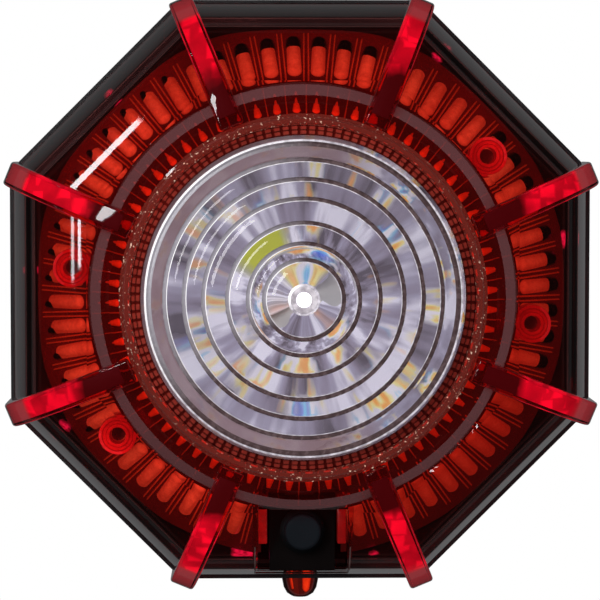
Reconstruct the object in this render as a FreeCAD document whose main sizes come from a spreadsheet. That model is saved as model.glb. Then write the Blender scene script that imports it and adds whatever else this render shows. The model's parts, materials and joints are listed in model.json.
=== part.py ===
"""Octagonal horn strobe for a wall.

Every piece is drawn about the lens axis: x to the right, y up the wall and z away from the wall.
FRONT then stands the pieces up, so that in the finished part +Z is up and the lens faces -Y.
The origin is the centre of the wall plate's back face.
"""
import FreeCAD, Part
import Sketcher
import math
import os
import types

SIZES = {
    # octagon and depth
    "tray_flats": 110.8, "cover_flats": 109.6, "plate_flats": 98, "board_flats": 103,
    "plate_depth": 2.4, "tray_back": 2.6, "tray_floor": 2.2, "tray_wall": 2.4, "tray_front": 12,
    "gasket_depth": 0.6, "cover_wall": 2.2,
    # facets of the cover
    "shoulder_half": 51.4, "shoulder_height": 25.6, "shoulder_round": 7.4,
    "brow_half": 49.0, "brow_height": 29.4, "facet_round": 64,
    "facet_top_half": 39.2, "facet_top_height": 36.2,
    # crown and collar round the lens
    "crown_radius": 39.6, "crown_top_radius": 36.8, "crown_height": 38.6, "crown_wall": 1.8,
    "collar_outer": 32.6, "collar_inner": 31.4, "collar_height": 40.6, "lens_hole": 29.2,
    # ribs over the corners
    "rib_width": 4.7, "rib_wall": 1.2, "rib_end": 59.6, "rib_edge_round": 1.0,
    "rib_shoulder": 22.5, "rib_brow_reach": 56.4, "rib_brow_height": 30.2, "rib_end_round": 11.4,
    "rib_back_reach": 42, "rib_back_height": 39.6, "rib_back_round": 40, "rib_top_round": 25,
    "rib_top_reach": 33.5, "rib_top_height": 41.2,
    # screw bosses
    "boss_circle": 42.5, "boss_radius": 3.55, "boss_top": 30.5, "boss_axis_turn": 15, "boss_half_turn": 22,
    "screw_radius": 1.3, "screw_head": 3.0, "screw_head_depth": 2.4, "screw_tip": 26.5,
    # switch pocket
    "pocket_half": 8.3, "pocket_top": 38.7, "pocket_bottom": 52.2, "pocket_floor": 22,
    "pocket_wall": 1.5, "pocket_round": 3,
    # push switch
    "switch_width": 12.2, "switch_down": 45.3, "switch_front": 26.6, "cap_down": 43.7,
    "cap_radius": 3.4, "cap_skirt": 4.2, "cap_front": 31, "cap_travel": 1.5, "plunger_radius": 2.5,
    "running_gap": 0.05,
    # fluted ring
    "ring_outer": 50.6, "ring_crest": 33.4, "ring_crest_height": 33.4, "ring_wall": 1.2, "ring_seat": 29.3,
    "flute_count": 60, "flute_width": 2.6, "flute_inner": 38.9, "flute_outer": 45.9,
    "drop_radius": 0.75, "drop_circle": 35.6,
    # lens and reflector
    "lens_radius": 28.7, "lens_flange": 31.3, "flange_depth": 1.8, "lens_edge_height": 41.4,
    "lens_front": 44.4,
    "step_first": 2.6, "step_pitch": 3.6, "step_count": 7, "step_drop": 0.8, "step_run": 0.35,
    "bowl_rim": 28.2, "bowl_hole": 6, "bowl_back": 17.2, "bowl_wall": 1.0, "bowl_flange": 30.6,
    # boards and light
    "board_depth": 1.6, "sink_radius": 13, "sink_depth": 1.8, "led_board_radius": 11,
    "led_board_depth": 1.2,
    "led_side": 5, "led_depth": 1.0, "led_dome": 2.2,
    # sounder
    "sounder_up": 35, "cup_radius": 12, "cup_wall": 1.2, "cup_depth": 4.4, "disc_radius": 10.4,
    "disc_depth": 0.5, "clamp_depth": 1.2,
    # wall fixing
    "fixing_pitch": 83.3, "fixing_radius": 2.25, "fixing_sink": 4.2, "plate_opening": 24,
    # tabs and lock between plate and tray
    "tab_across": 31, "tab_up": 9, "tab_width": 2.4, "tab_length": 7, "tab_depth": 1.8,
    "lug_across": 17, "lug_down": 47.4, "lug_width": 7, "lug_thickness": 3, "lug_depth": 9.4,
    "lock_height": 7, "lock_thread": 1.5, "lock_shank": 1.45, "lock_shank_length": 6.6, "lock_head": 2.8,
    "lock_length": 8.2, "lock_tip": 46.95, "lock_pad_down": 51.8,
    # sound slots, pillars and windows of the tray
    "sound_reach": 54.5, "sound_cut": 8, "sound_length": 11, "sound_width": 2.2, "sound_pitch": 16,
    "sound_height": 8.2, "pillar_across": 22, "pillar_up": 31, "pillar_radius": 3, "pilot_radius": 1.1,
    "terminal_window_length": 17, "terminal_window_width": 11, "settings_window_length": 26,
    "settings_window_width": 10,
    # parts on the board
    "tall_across": 27, "tall_up": 17, "can_radius": 4.5, "can_height": 11, "coil_radius": 5.5,
    "coil_core": 4,
    "coil_height": 6, "chip_side": 7, "chip_depth": 1.2, "chip_corner": 22, "contact_radius": 2.2,
    "contact_depth": 0.6, "contact_height": 19.4,
    # nose
    "nose_radius": 3.6, "nose_reach": 4.2, "nose_out": 8, "nose_stem": 2.6,
    # settings and terminals
    "block_length": 15, "block_width": 9, "block_up": 14, "terminal_pitch": 3.6, "terminal_count": 4,
    "dip_length": 11.8, "dip_width": 6.2, "dip_depth": 4.5, "dip_across": -6.5, "settings_down": 12,
    "lever_pitch": 2.54, "lever_count": 4, "lever_travel": 1.6, "lever_width": 1.4,
    "trimmer_side": 6.6, "trimmer_depth": 4.2, "trimmer_across": 8, "rotor_radius": 2.4,
}

FRONT = FreeCAD.Rotation(FreeCAD.Vector(1, 0, 0), 90)
UPRIGHT = FreeCAD.Rotation(FreeCAD.Vector(0, 0, 1), 22.5)
HALF_CORNER = math.cos(math.radians(22.5))

doc = FreeCAD.newDocument("horn_strobe")
sheet = doc.addObject("Spreadsheet::Sheet", "sizes")
for row, (alias, number) in enumerate(SIZES.items(), 1):
    sheet.set("A%d" % row, alias)
    sheet.set("B%d" % row, str(number))
    sheet.setAlias("B%d" % row, alias)
doc.recompute()


class Size:
    """A length that carries its number and the sheet expression that gives it."""

    def __init__(self, number, text):
        self.number = number
        self.text = text

    def __add__(self, other):
        other = as_size(other)
        return Size(self.number + other.number, "(%s + %s)" % (self.text, other.text))

    def __sub__(self, other):
        other = as_size(other)
        return Size(self.number - other.number, "(%s - %s)" % (self.text, other.text))

    def __mul__(self, factor):
        factor = as_size(factor)
        return Size(self.number * factor.number, "%s * %s" % (self.text, factor.text))

    def __neg__(self):
        return Size(-self.number, "(0 - %s)" % self.text)

    def __radd__(self, other):
        return as_size(other) + self

    def __rsub__(self, other):
        return as_size(other) - self

    __rmul__ = __mul__


def as_size(value):
    if isinstance(value, Size):
        return value
    return Size(value, "(%.6f)" % value)


d = types.SimpleNamespace(**{alias: Size(number, "sizes." + alias) for alias, number in SIZES.items()})
COVER_BACK = d.tray_front + d.gasket_depth
CAVITY_BACK = d.tray_back + d.tray_floor
BOARD_FRONT = d.tray_front + d.board_depth
LENS_BACK = d.crown_height - d.crown_wall - d.gasket_depth - d.flange_depth


def bind(thing, **sizes):
    for name, value in sizes.items():
        thing.setExpression(name, as_size(value).text)
    return thing


def put(thing, x=0, y=0, z=0, standing=False):
    """Place a thing by its corner or centre; a finished sub-part is stood up with standing=True."""
    x, y, z = as_size(x), as_size(y), as_size(z)
    if standing:
        thing.Placement = FreeCAD.Placement(FreeCAD.Vector(), FRONT)
        y, z = -z, y
    thing.setExpression("Placement.Base.x", x.text)
    thing.setExpression("Placement.Base.y", y.text)
    thing.setExpression("Placement.Base.z", z.text)
    return thing


def rod(name, radius, length, x=0, y=0, z=0, standing=False):
    thing = doc.addObject("Part::Cylinder", name)
    return put(bind(thing, Radius=radius, Height=length), x, y, z, standing)


def rod_down(name, radius, length, x, y, z):
    """A rod that runs down the wall from the given place."""
    thing = rod(name, radius, length, x, y, z)
    thing.Placement = FreeCAD.Placement(FreeCAD.Vector(), FRONT)
    return thing


def block(name, size, middle, back, standing=False):
    """A box of (length, width, depth) about a middle point, with its back face at the given height."""
    thing = doc.addObject("Part::Box", name)
    length, width, depth = [as_size(value) for value in size]
    bind(thing, Length=length, Width=width, Height=depth)
    x, y = [as_size(value) for value in middle]
    return put(thing, x - length * 0.5, y - width * 0.5, back, standing)


def octagon(name, flats, back, depth):
    thing = doc.addObject("Part::Prism", name)
    thing.Polygon = 8
    thing.Placement = FreeCAD.Placement(FreeCAD.Vector(), UPRIGHT)
    bind(thing, Circumradius=flats * (0.5 / HALF_CORNER), Height=depth)
    thing.setExpression("Placement.Base.z", as_size(back).text)
    return thing


def joined(name, things):
    thing = doc.addObject("Part::MultiFuse", name)
    thing.Shapes = things
    return thing


def shared(name, things):
    thing = doc.addObject("Part::MultiCommon", name)
    thing.Shapes = things
    return thing


def less(name, base, tools):
    thing = doc.addObject("Part::Cut", name)
    thing.Base = base
    thing.Tool = tools[0] if len(tools) == 1 else joined(name + "_tools", tools)
    return thing


def group(name, things):
    thing = doc.addObject("Part::Compound", name)
    thing.Links = things
    return thing


def arc_middle(start, end, radius):
    """Middle point of the arc from start to end; a positive radius bulges to the right of the way."""
    (ax, ay), (bx, by) = start, end
    half = math.hypot(bx - ax, by - ay) / 2
    sag = abs(radius) - math.sqrt(radius * radius - half * half)
    side = math.copysign(sag / (2 * half), radius)
    return ((ax + bx) / 2 + (by - ay) * side, (ay + by) / 2 - (bx - ax) * side)


def outline(sketch, corners):
    """Closed outline through the corners; a third entry makes an arc of that radius to the next corner."""
    spots = [(as_size(corner[0]), as_size(corner[1])) for corner in corners]
    flat = [(x.number, y.number) for x, y in spots]
    count = len(corners)
    for index, corner in enumerate(corners):
        start, end = flat[index], flat[(index + 1) % count]
        first, last = FreeCAD.Vector(*start, 0), FreeCAD.Vector(*end, 0)
        if len(corner) == 2:
            sketch.addGeometry(Part.LineSegment(first, last))
        else:
            radius = as_size(corner[2]).number
            middle = FreeCAD.Vector(*arc_middle(start, end, radius), 0)
            if radius < 0:
                first, last = last, first
            sketch.addGeometry(Part.Arc(first, middle, last))
    ends = [loose_ends(sketch.Geometry[index], flat[index]) for index in range(count)]
    for index in range(count):
        following = (index + 1) % count
        sketch.addConstraint(Sketcher.Constraint("Coincident", index, ends[index][1], following,
                                                 ends[following][0]))
    for index, (x, y) in enumerate(spots):
        for kind, value in (("DistanceX", x), ("DistanceY", y)):
            rule = sketch.addConstraint(Sketcher.Constraint(kind, -1, 1, index, ends[index][0],
                                                            value.number))
            sketch.setExpression("Constraints[%d]" % rule, value.text)
        if len(corners[index]) == 3:
            radius = as_size(corners[index][2])
            length = Size(abs(radius.number), "abs(%s)" % radius.text)
            rule = sketch.addConstraint(Sketcher.Constraint("Radius", index, length.number))
            sketch.setExpression("Constraints[%d]" % rule, length.text)
    return sketch


def loose_ends(edge, start):
    """Which vertex of an edge is its start and which its end: arcs always run anticlockwise."""
    near = math.hypot(edge.StartPoint.x - start[0], edge.StartPoint.y - start[1]) < 1e-4
    return (1, 2) if near else (2, 1)


def upright_outline(name, corners):
    """An outline in the plane of the lens axis: across, then away from the wall."""
    sketch = doc.addObject("Sketcher::SketchObject", name)
    sketch.Placement = FreeCAD.Placement(FreeCAD.Vector(), FRONT)
    return outline(sketch, corners)


def turned(name, corners):
    """A turned piece about the lens axis."""
    thing = doc.addObject("Part::Revolution", name)
    thing.Source = upright_outline(name + "_outline", corners)
    thing.Axis = FreeCAD.Vector(0, 0, 1)
    thing.Angle = 360
    thing.Solid = True
    return thing


def extruded(name, sketch, length):
    thing = doc.addObject("Part::Extrusion", name)
    thing.Base = sketch
    thing.DirMode = "Normal"
    thing.Symmetric = True
    thing.Solid = True
    return bind(thing, LengthFwd=length)


def origin_part(body, role):
    return next(part for part in body.Origin.OriginFeatures if part.Role == role)


subparts = []


def finish(label, thing, standing=True):
    """Name a sub-part and stand it up, unless it was placed standing."""
    thing.Label = label
    if standing:
        thing.Placement = FreeCAD.Placement(FreeCAD.Vector(), FRONT)
    subparts.append(thing)
    return thing


def boss_spots():
    """The four cover screws: two on each side, about an axis that is tilted out of the level."""
    spots = []
    for side in (0, 180):
        for sign in (-1, 1):
            turn = "(%s + %d + %d * %s)" % (d.boss_axis_turn.text, side, sign, d.boss_half_turn.text)
            angle = math.radians(d.boss_axis_turn.number + side + sign * d.boss_half_turn.number)
            reach = d.boss_circle
            spots.append((Size(reach.number * math.cos(angle), "%s * cos(%s * 1deg)" % (reach.text, turn)),
                          Size(reach.number * math.sin(angle), "%s * sin(%s * 1deg)" % (reach.text, turn))))
    return spots


def mirrored(corners):
    """The right half of a level outline, from the foot up, closed by its mirror image."""
    left = []
    for index in range(len(corners) - 1, -1, -1):
        x, y = corners[index][:2]
        before = corners[index - 1] if index else ()
        left.append((-as_size(x), y) + tuple(before[2:]))
    return list(corners[:-1]) + [tuple(corners[-1][:2])] + left


def facets(name, inset, foot):
    """Eight single-curved facets: four tunnels crossed at 45 degrees, all set in by the same wall."""
    half = [
        (d.cover_flats * 0.5 - inset, foot),
        (d.shoulder_half - inset * 0.97, d.shoulder_height - inset * 0.3, d.shoulder_round - inset),
        (d.brow_half - inset * 0.72, d.brow_height - inset * 0.7, d.facet_round - inset),
        (d.facet_top_half - inset * 0.4, d.facet_top_height - inset * 0.92),
    ]
    sketch = upright_outline(name + "_outline", mirrored(half))
    tunnels = []
    for turn in range(0, 180, 45):
        tunnel = extruded("%s_%d" % (name, turn), sketch, d.cover_flats * 1.3)
        tunnel.Placement = FreeCAD.Placement(FreeCAD.Vector(),
                                             FreeCAD.Rotation(FreeCAD.Vector(0, 0, 1), turn))
        tunnels.append(tunnel)
    return shared(name, tunnels)


def rib_star(name, corners, width, edge_round):
    """Eight ribs as one star: a flat slab with rounded edges, turned eight times about the axis."""
    body = doc.addObject("PartDesign::Body", name)
    sketch = body.newObject("Sketcher::SketchObject", name + "_outline")
    sketch.AttachmentSupport = (origin_part(body, "XZ_Plane"), "")
    sketch.MapMode = "FlatFace"
    outline(sketch, corners)
    slab = body.newObject("PartDesign::Pad", name + "_slab")
    slab.Profile = sketch
    slab.Midplane = True
    bind(slab, Length=width)
    doc.recompute()
    repeated = [slab]
    if edge_round is not None:
        side = width.number / 2
        names = []
        for number, edge in enumerate(slab.Shape.Edges, 1):
            box = edge.BoundBox
            on_side = abs(abs(box.YMin) - side) < 1e-4 and box.YLength < 1e-4
            if on_side and box.XMin > 1 and box.ZMax > d.tray_back.number + 0.1 and box.ZLength > 0.01:
                names.append("Edge%d" % number)
        soft = body.newObject("PartDesign::Fillet", name + "_soft")
        soft.Base = (slab, names)
        bind(soft, Radius=edge_round)
        doc.recompute()
        repeated = [slab, soft]
    star = body.newObject("PartDesign::PolarPattern", name + "_star")
    star.Originals = repeated
    star.Axis = (origin_part(body, "Z_Axis"), [""])
    star.Angle = 360
    star.Occurrences = 8
    body.Tip = star
    body.Placement = FreeCAD.Placement(FreeCAD.Vector(), UPRIGHT)
    return body


def tab_spots():
    return [(d.tab_across * side, d.tab_up * level) for side in (-1, 1) for level in (-1, 1)]


# Wall plate: octagon with a wiring opening, two countersunk fixing holes, four tabs and a lug.

def make_wall_plate():
    fixing = d.fixing_pitch * 0.5
    holes = [rod("plate_window", d.plate_opening, 6, z=-1)]
    for sign in (-1, 1):
        holes.append(rod("plate_hole_%d" % (sign + 1), d.fixing_radius, 6, y=fixing * sign, z=-1))
        sink = doc.addObject("Part::Cone", "plate_sink_%d" % (sign + 1))
        bind(sink, Radius1=d.fixing_radius, Radius2=d.fixing_sink, Height=d.plate_depth * 0.5)
        holes.append(put(sink, y=fixing * sign, z=d.plate_depth * 0.5))
    solids = [octagon("plate_slab", d.plate_flats, 0, d.plate_depth)]
    for number, spot in enumerate(tab_spots()):
        solids.append(block("plate_tab_%d" % number, (d.tab_width, d.tab_length,
                                                      d.plate_depth + d.tab_depth), spot, 0))
    solids.append(block("plate_lug", (d.lug_width, d.lug_thickness, d.lug_depth),
                        (d.lug_across, -d.lug_down), 0))
    thread = rod_down("plate_thread", d.lock_thread, 8, d.lug_across, -d.lug_down + 3.4, d.lock_height)
    finish("wall_plate", less("plate_cut", joined("plate_solids", solids), holes + [thread]))


def radial_tool(name, size, reach, along, turn, height):
    """A box centred at a reach from the axis and a distance along the flat there, turned about the axis."""
    length, width, depth = size
    box = doc.addObject("Part::Box", name)
    bind(box, Length=length, Width=width, Height=depth)
    turn_back = FreeCAD.Rotation(FreeCAD.Vector(0, 0, 1), turn)
    corner = FreeCAD.Vector((reach - length * 0.5).number, (along - width * 0.5).number,
                            (height - depth * 0.5).number)
    box.Placement = FreeCAD.Placement(turn_back.multVec(corner), turn_back)
    return box


# Tray: black octagonal back shell with posts, pillars, sound slots and two windows to the wiring side.

PILLARS = [(d.pillar_across * side, d.pillar_up * level) for side,
           level in ((1, 1), (-1, 1), (-1, -1), (1, -1))]


def make_base_tray():
    depth = d.tray_front - d.tray_back
    pads = rib_star("tray_pads", [(0, d.tray_back), (d.rib_end, d.tray_back), (d.rib_end, d.tray_front),
                                  (0, d.tray_front)], d.rib_width, d.rib_edge_round)
    shell = joined("tray_blank", [octagon("tray_slab", d.tray_flats, d.tray_back, depth), pads])
    cavity = octagon("tray_cavity", d.tray_flats - d.tray_wall * 2, CAVITY_BACK, 20)
    solids = [less("tray_shell", shell, [cavity])]
    tools = []
    for number, (x, y) in enumerate(boss_spots()):
        solids.append(rod("tray_post_%d" % number, d.boss_radius + 0.6, depth, x, y, d.tray_back))
        tools.append(rod("tray_bore_%d" % number, d.screw_radius + 0.3, 30, x, y, 0))
        tools.append(rod("tray_sink_%d" % number, d.screw_head + 0.2, d.screw_head_depth + 0.4, x, y,
                         d.tray_back))
    for number, (x, y) in enumerate(PILLARS):
        solids.append(rod("tray_pillar_%d" % number, d.pillar_radius, depth, x, y, d.tray_back))
        tools.append(rod("tray_pilot_%d" % number, d.pilot_radius, 6, x, y, d.tray_front - 5))
    solids.append(block("tray_lock_pad", (d.lug_width + 3, 3, 7), (d.lug_across, -d.lock_pad_down),
                        CAVITY_BACK - 0.5))
    tools.append(block("tray_terminal_window", (d.terminal_window_length, d.terminal_window_width, 6),
                       (0, d.block_up), 1))
    tools.append(block("tray_settings_window", (d.settings_window_length, d.settings_window_width, 6),
                       (-0.5, -d.settings_down), 1))
    for number, spot in enumerate(tab_spots()):
        tools.append(block("tray_slot_%d" % number, (d.tab_width + 1, d.tab_length + 3, 6), spot, 1))
    tools.append(block("tray_lug_slot", (d.lug_width + 1.4, d.lug_thickness + 1.4, 6),
                       (d.lug_across, -d.lug_down), 1))
    slot_size = (d.sound_cut, d.sound_length, d.sound_width)
    for turn in range(-45, 226, 45):
        for place in (-1, 0, 1):
            name = "tray_sound_%d_%d" % (turn + 45, place + 1)
            tools.append(radial_tool(name, slot_size, d.sound_reach, d.sound_pitch * place, turn,
                                     d.sound_height))
    nose = rod_down("tray_nose_hole", d.nose_stem + 0.1, 12, 0, -48, d.nose_out)
    lock = rod_down("tray_lock_hole", d.lock_thread + 0.2, 12, d.lug_across, -d.lug_down - 0.6,
                    d.lock_height)
    lock_sink = rod_down("tray_lock_sink", d.lock_head + 0.2, 6, d.lug_across, -d.lock_pad_down - 1.5,
                         d.lock_height)
    finish("base_tray", less("tray_cut", joined("tray_solids", solids), tools + [nose, lock, lock_sink]))


def make_tray_gasket():
    ring = octagon("gasket_slab", d.cover_flats - 0.8, d.tray_front, d.gasket_depth)
    hole = octagon("gasket_hole", d.cover_flats - 3.6, d.tray_front - 1, d.gasket_depth + 2)
    finish("tray_gasket", less("gasket_cut", ring, [hole]))


# Cover: facets, crown, collar, hollow ribs, bosses and the switch pocket in one moulding.

def rib_outline(inset, foot):
    """Side view of a rib; the wall is the same all along, and the hollow one stops short of the crown."""
    corners = [
        (0, foot),
        (d.rib_end - inset, foot),
        (d.rib_end - inset - 0.2, d.rib_shoulder, d.rib_end_round - inset),
        (d.rib_brow_reach - inset * 0.8, d.rib_brow_height - inset * 0.6, d.rib_back_round - inset),
    ]
    back = (d.rib_back_reach - inset * 0.4, d.rib_back_height - inset * 0.95)
    if inset:
        return corners + [back, (37, d.rib_top_height - inset - 0.7), (37, 34), (0, 34)]
    return corners + [back + (d.rib_top_round,), (d.rib_top_reach, d.rib_top_height), (0, d.rib_top_height)]


def make_front_cover():
    crown = turned("crown", [(0, 28), (d.crown_radius, 28), (d.crown_radius, d.facet_top_height),
                             (d.crown_top_radius, d.crown_height), (d.collar_outer, d.crown_height),
                             (d.collar_outer, d.collar_height), (0, d.collar_height)])
    crown_room = turned("crown_room", [(0, 26), (d.crown_radius - d.crown_wall, 26),
                                       (d.crown_radius - d.crown_wall, d.facet_top_height - 0.9),
                                       (d.crown_top_radius - 1, d.crown_height - d.crown_wall),
                                       (0, d.crown_height - d.crown_wall)])
    ribs = rib_star("ribs", rib_outline(0, COVER_BACK), d.rib_width, d.rib_edge_round)
    rib_room = rib_star("rib_room", rib_outline(d.rib_wall, COVER_BACK - 1), d.rib_width - d.rib_wall * 2,
                        None)
    outer = joined("cover_outer", [facets("facets", 0, COVER_BACK), crown, ribs])
    inner = joined("cover_inner", [facets("facet_room", d.cover_wall, COVER_BACK - 1), crown_room,
                                   rib_room])
    shell = less("cover_shell", outer, [inner])
    well_wall = d.pocket_wall
    length = d.pocket_bottom - d.pocket_top
    middle = (d.pocket_bottom + d.pocket_top) * -0.5
    well_box = block("well_box", (d.pocket_half * 2 + well_wall * 2, length + well_wall * 2 - 1, 20),
                     (0, middle + 0.5), d.pocket_floor - well_wall)
    solids = [shell, shared("well", [outer, well_box])]
    tools = [rod("lens_hole", d.lens_hole, 30, z=20), rod("collar_bore", d.collar_inner, 10,
                                                          z=d.crown_height)]
    for number, (x, y) in enumerate(boss_spots()):
        solids.append(rod("boss_%d" % number, d.boss_radius, d.boss_top - d.tray_front, x, y, d.tray_front))
        tools.append(rod("boss_bore_%d" % number, d.screw_radius, d.screw_tip + 1 - 10, x, y, 10))
    pocket = block("pocket", (d.pocket_half * 2, length, 30), (0, middle), d.pocket_floor)
    soft_pocket = doc.addObject("Part::Fillet", "soft_pocket")
    soft_pocket.Base = pocket
    doc.recompute()
    corners = [number for number, edge in enumerate(pocket.Shape.Edges, 1)
               if edge.BoundBox.ZLength > 1 and edge.BoundBox.YMax < d.pocket_bottom.number * -1 + 1]
    soft_pocket.Edges = [(number, d.pocket_round.number, d.pocket_round.number) for number in corners]
    tools.append(soft_pocket)
    tools.append(block("switch_window", (d.switch_width + 0.6, d.switch_width + 0.5, 12),
                       (0, -d.switch_down), d.pocket_floor - 6))
    finish("front_cover", less("cover_cut", joined("cover_solids", solids), tools))


# Fluted ring: slanted translucent ring with two rows of pockets, notched round the bosses and the switch.

def make_fluted_ring():
    body = doc.addObject("PartDesign::Body", "ring_body")
    profile = body.newObject("Sketcher::SketchObject", "ring_outline")
    profile.AttachmentSupport = (origin_part(body, "XZ_Plane"), "")
    profile.MapMode = "FlatFace"
    seat_back = d.ring_crest_height - d.ring_wall
    outline(profile, [(d.ring_seat, seat_back), (d.ring_crest - 1.1, seat_back),
                      (d.ring_outer - 2, BOARD_FRONT + 0.7),
                      (d.ring_outer - 2, BOARD_FRONT), (d.ring_outer, BOARD_FRONT),
                      (d.ring_outer, BOARD_FRONT + 1),
                      (d.ring_crest, d.ring_crest_height), (d.ring_seat, d.ring_crest_height)])
    cone = body.newObject("PartDesign::Revolution", "ring_cone")
    cone.Profile = profile
    cone.ReferenceAxis = (profile, ["V_Axis"])
    cone.Angle = 360
    doc.recompute()
    half = d.flute_width * 0.5
    flute = slot_sketch(body, "flute", half, d.flute_inner, d.flute_outer)
    drop = slot_sketch(body, "drop", d.drop_radius, d.drop_circle - 1.6, d.drop_circle)
    doc.recompute()
    for name, sketch in (("flute", flute), ("drop", drop)):
        before = body.Shape.Volume
        cut = body.newObject("PartDesign::Pocket", name + "_cut")
        cut.Profile = sketch
        cut.Type = "ThroughAll"
        cut.Midplane = True
        doc.recompute()
        if body.Shape.Volume > before - 0.1:
            raise RuntimeError(name + " cuts nothing")
        row = body.newObject("PartDesign::PolarPattern", name + "_row")
        row.Originals = [cut]
        row.Axis = (origin_part(body, "Z_Axis"), [""])
        row.Angle = 360
        bind(row, Occurrences=d.flute_count)
        body.Tip = row
        doc.recompute()
    tools = [block("ring_notch", (d.pocket_half * 2 + d.pocket_wall * 2 + 0.6, 20, 40), (0, -46.6), 5)]
    for number, (x, y) in enumerate(boss_spots()):
        tools.append(rod("ring_gap_%d" % number, d.boss_radius + 0.4, 40, x, y, 5))
    finish("fluted_ring", less("ring_cut", body, tools))


def slot_sketch(body, name, half, inner, outer):
    """A slot with round ends along the radius at the top of the ring."""
    sketch = body.newObject("Sketcher::SketchObject", name + "_outline")
    sketch.AttachmentSupport = (origin_part(body, "XY_Plane"), "")
    sketch.MapMode = "FlatFace"
    return outline(sketch, [(-half, outer), (-half, inner, half * 1.0001), (half, inner),
                            (half, outer, half * 1.0001)])


# Optics: stepped lens, its gasket, the reflector bowl and the light on its boards.

def make_strobe_lens():
    steps = int(d.step_count.number)
    corners = [(0, LENS_BACK), (d.lens_flange, LENS_BACK), (d.lens_flange, LENS_BACK + d.flange_depth),
               (d.lens_radius, LENS_BACK + d.flange_depth), (d.lens_radius, d.lens_edge_height)]
    fall = d.lens_front - d.lens_edge_height
    for step in range(steps, 0, -1):
        reach = d.step_first + d.step_pitch * (step - 1)
        level = d.lens_edge_height + fall * ((steps - step) / (steps - 0.5))
        corners.append((reach + d.step_run, level))
        corners.append((reach, level - d.step_drop))
        corners.append((reach - d.step_run, level + fall * (0.8 / steps)))
    corners.append((0, d.lens_front))
    finish("strobe_lens", turned("lens", corners))


def make_optics():
    seat = LENS_BACK + d.flange_depth
    finish("lens_gasket", turned("lens_seal", [(d.lens_hole + 0.3, seat), (d.lens_flange, seat),
                                               (d.lens_flange, seat + d.gasket_depth),
                                               (d.lens_hole + 0.3, seat + d.gasket_depth)]))
    rim = LENS_BACK
    wall = d.bowl_wall
    finish("reflector", turned("bowl", [
        (d.bowl_hole, d.bowl_back), (d.bowl_hole + wall, d.bowl_back - 0.4, 36),
        (d.bowl_rim + wall * 0.6, rim - wall),
        (d.bowl_flange, rim - wall), (d.bowl_flange, rim), (d.bowl_rim, rim, -37)]))
    finish("heat_sink", rod("sink", d.sink_radius, d.sink_depth, 0, 0, BOARD_FRONT, True), False)
    board_back = BOARD_FRONT + d.sink_depth
    finish("led_board", rod("led_disc", d.led_board_radius, d.led_board_depth, 0, 0, board_back, True),
           False)
    led_back = board_back + d.led_board_depth
    base = block("led_base", (d.led_side, d.led_side, d.led_depth), (0, 0), led_back)
    dome = doc.addObject("Part::Sphere", "led_ball")
    bind(dome, Radius=d.led_dome)
    put(dome, z=led_back + d.led_depth * 0.5)
    room = block("led_room", (10, 10, 10), (0, 0), led_back)
    finish("strobe_led", joined("led", [base, shared("led_dome", [dome, room])]))


def screw(name, x, y, back, head_radius, head_depth, radius, length):
    """A pan-head screw with a cross slot; its head is at the back and it points away from the wall."""
    head = rod(name + "_head", head_radius, head_depth, x, y, back)
    shank = rod(name + "_shank", radius, length, x, y, back)
    x, y = as_size(x), as_size(y)
    slots = [block(name + "_slot_a", (head_radius * 1.3, 0.7, 1.6), (x, y), as_size(back) - 0.8),
             block(name + "_slot_b", (0.7, head_radius * 1.3, 1.6), (x, y), as_size(back) - 0.8)]
    return less(name, joined(name + "_blank", [head, shank]), slots)


def make_screws():
    back = d.tray_back + 0.4
    covers = [screw("cover_screw_%d" % number, x, y, back, d.screw_head, d.screw_head_depth,
                    d.screw_radius, d.screw_tip - back) for number, (x, y) in enumerate(boss_spots())]
    finish("cover_screws", group("cover_screw_group", covers))
    boards = []
    for number, (x, y) in enumerate(PILLARS):
        name = "board_screw_%d" % number
        shank = rod(name + "_shank", d.pilot_radius, 5.5, x, y, BOARD_FRONT - 4.9)
        head = rod(name + "_head", 2.2, 1.4, x, y, BOARD_FRONT)
        slots = [block(name + "_slot_a", (2.8, 0.6, 1.4), (x, y), BOARD_FRONT + 0.8),
                 block(name + "_slot_b", (0.6, 2.8, 1.4), (x, y), BOARD_FRONT + 0.8)]
        boards.append(less(name, joined(name + "_blank", [head, shank]), slots))
    finish("board_screws", group("board_screw_group", boards))
    head = turned("lock_head", [(0, 0), (d.lock_shank, 0), (d.lock_shank, d.lock_shank_length),
                                (d.lock_head, d.lock_shank_length), (d.lock_head, d.lock_length),
                                (0, d.lock_length)])
    slot = block("lock_slot", (d.lock_head * 1.5, 0.8, 2), (0, 0), d.lock_length - 0.9)
    lock = less("lock", head, [slot])
    lock.Label = "lock_screw"
    turn = FreeCAD.Rotation(FreeCAD.Vector(1, 0, 0), 180)
    tip = FreeCAD.Vector(d.lug_across.number, -d.lock_height.number, -d.lock_tip.number)
    lock.Placement = FreeCAD.Placement(tip, turn)
    subparts.append(lock)


# Main board and what stands on it.

def make_main_board():
    tools = []
    for number, (x, y) in enumerate(boss_spots()):
        tools.append(rod("board_gap_%d" % number, d.boss_radius + 0.9, 6, x, y, d.tray_front - 2))
    for number, (x, y) in enumerate(PILLARS):
        tools.append(rod("board_hole_%d" % number, 1.2, 6, x, y, d.tray_front - 2))
    slab = octagon("board_slab", d.board_flats, d.tray_front, d.board_depth)
    finish("main_board", less("board_cut", slab, tools))


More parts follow.
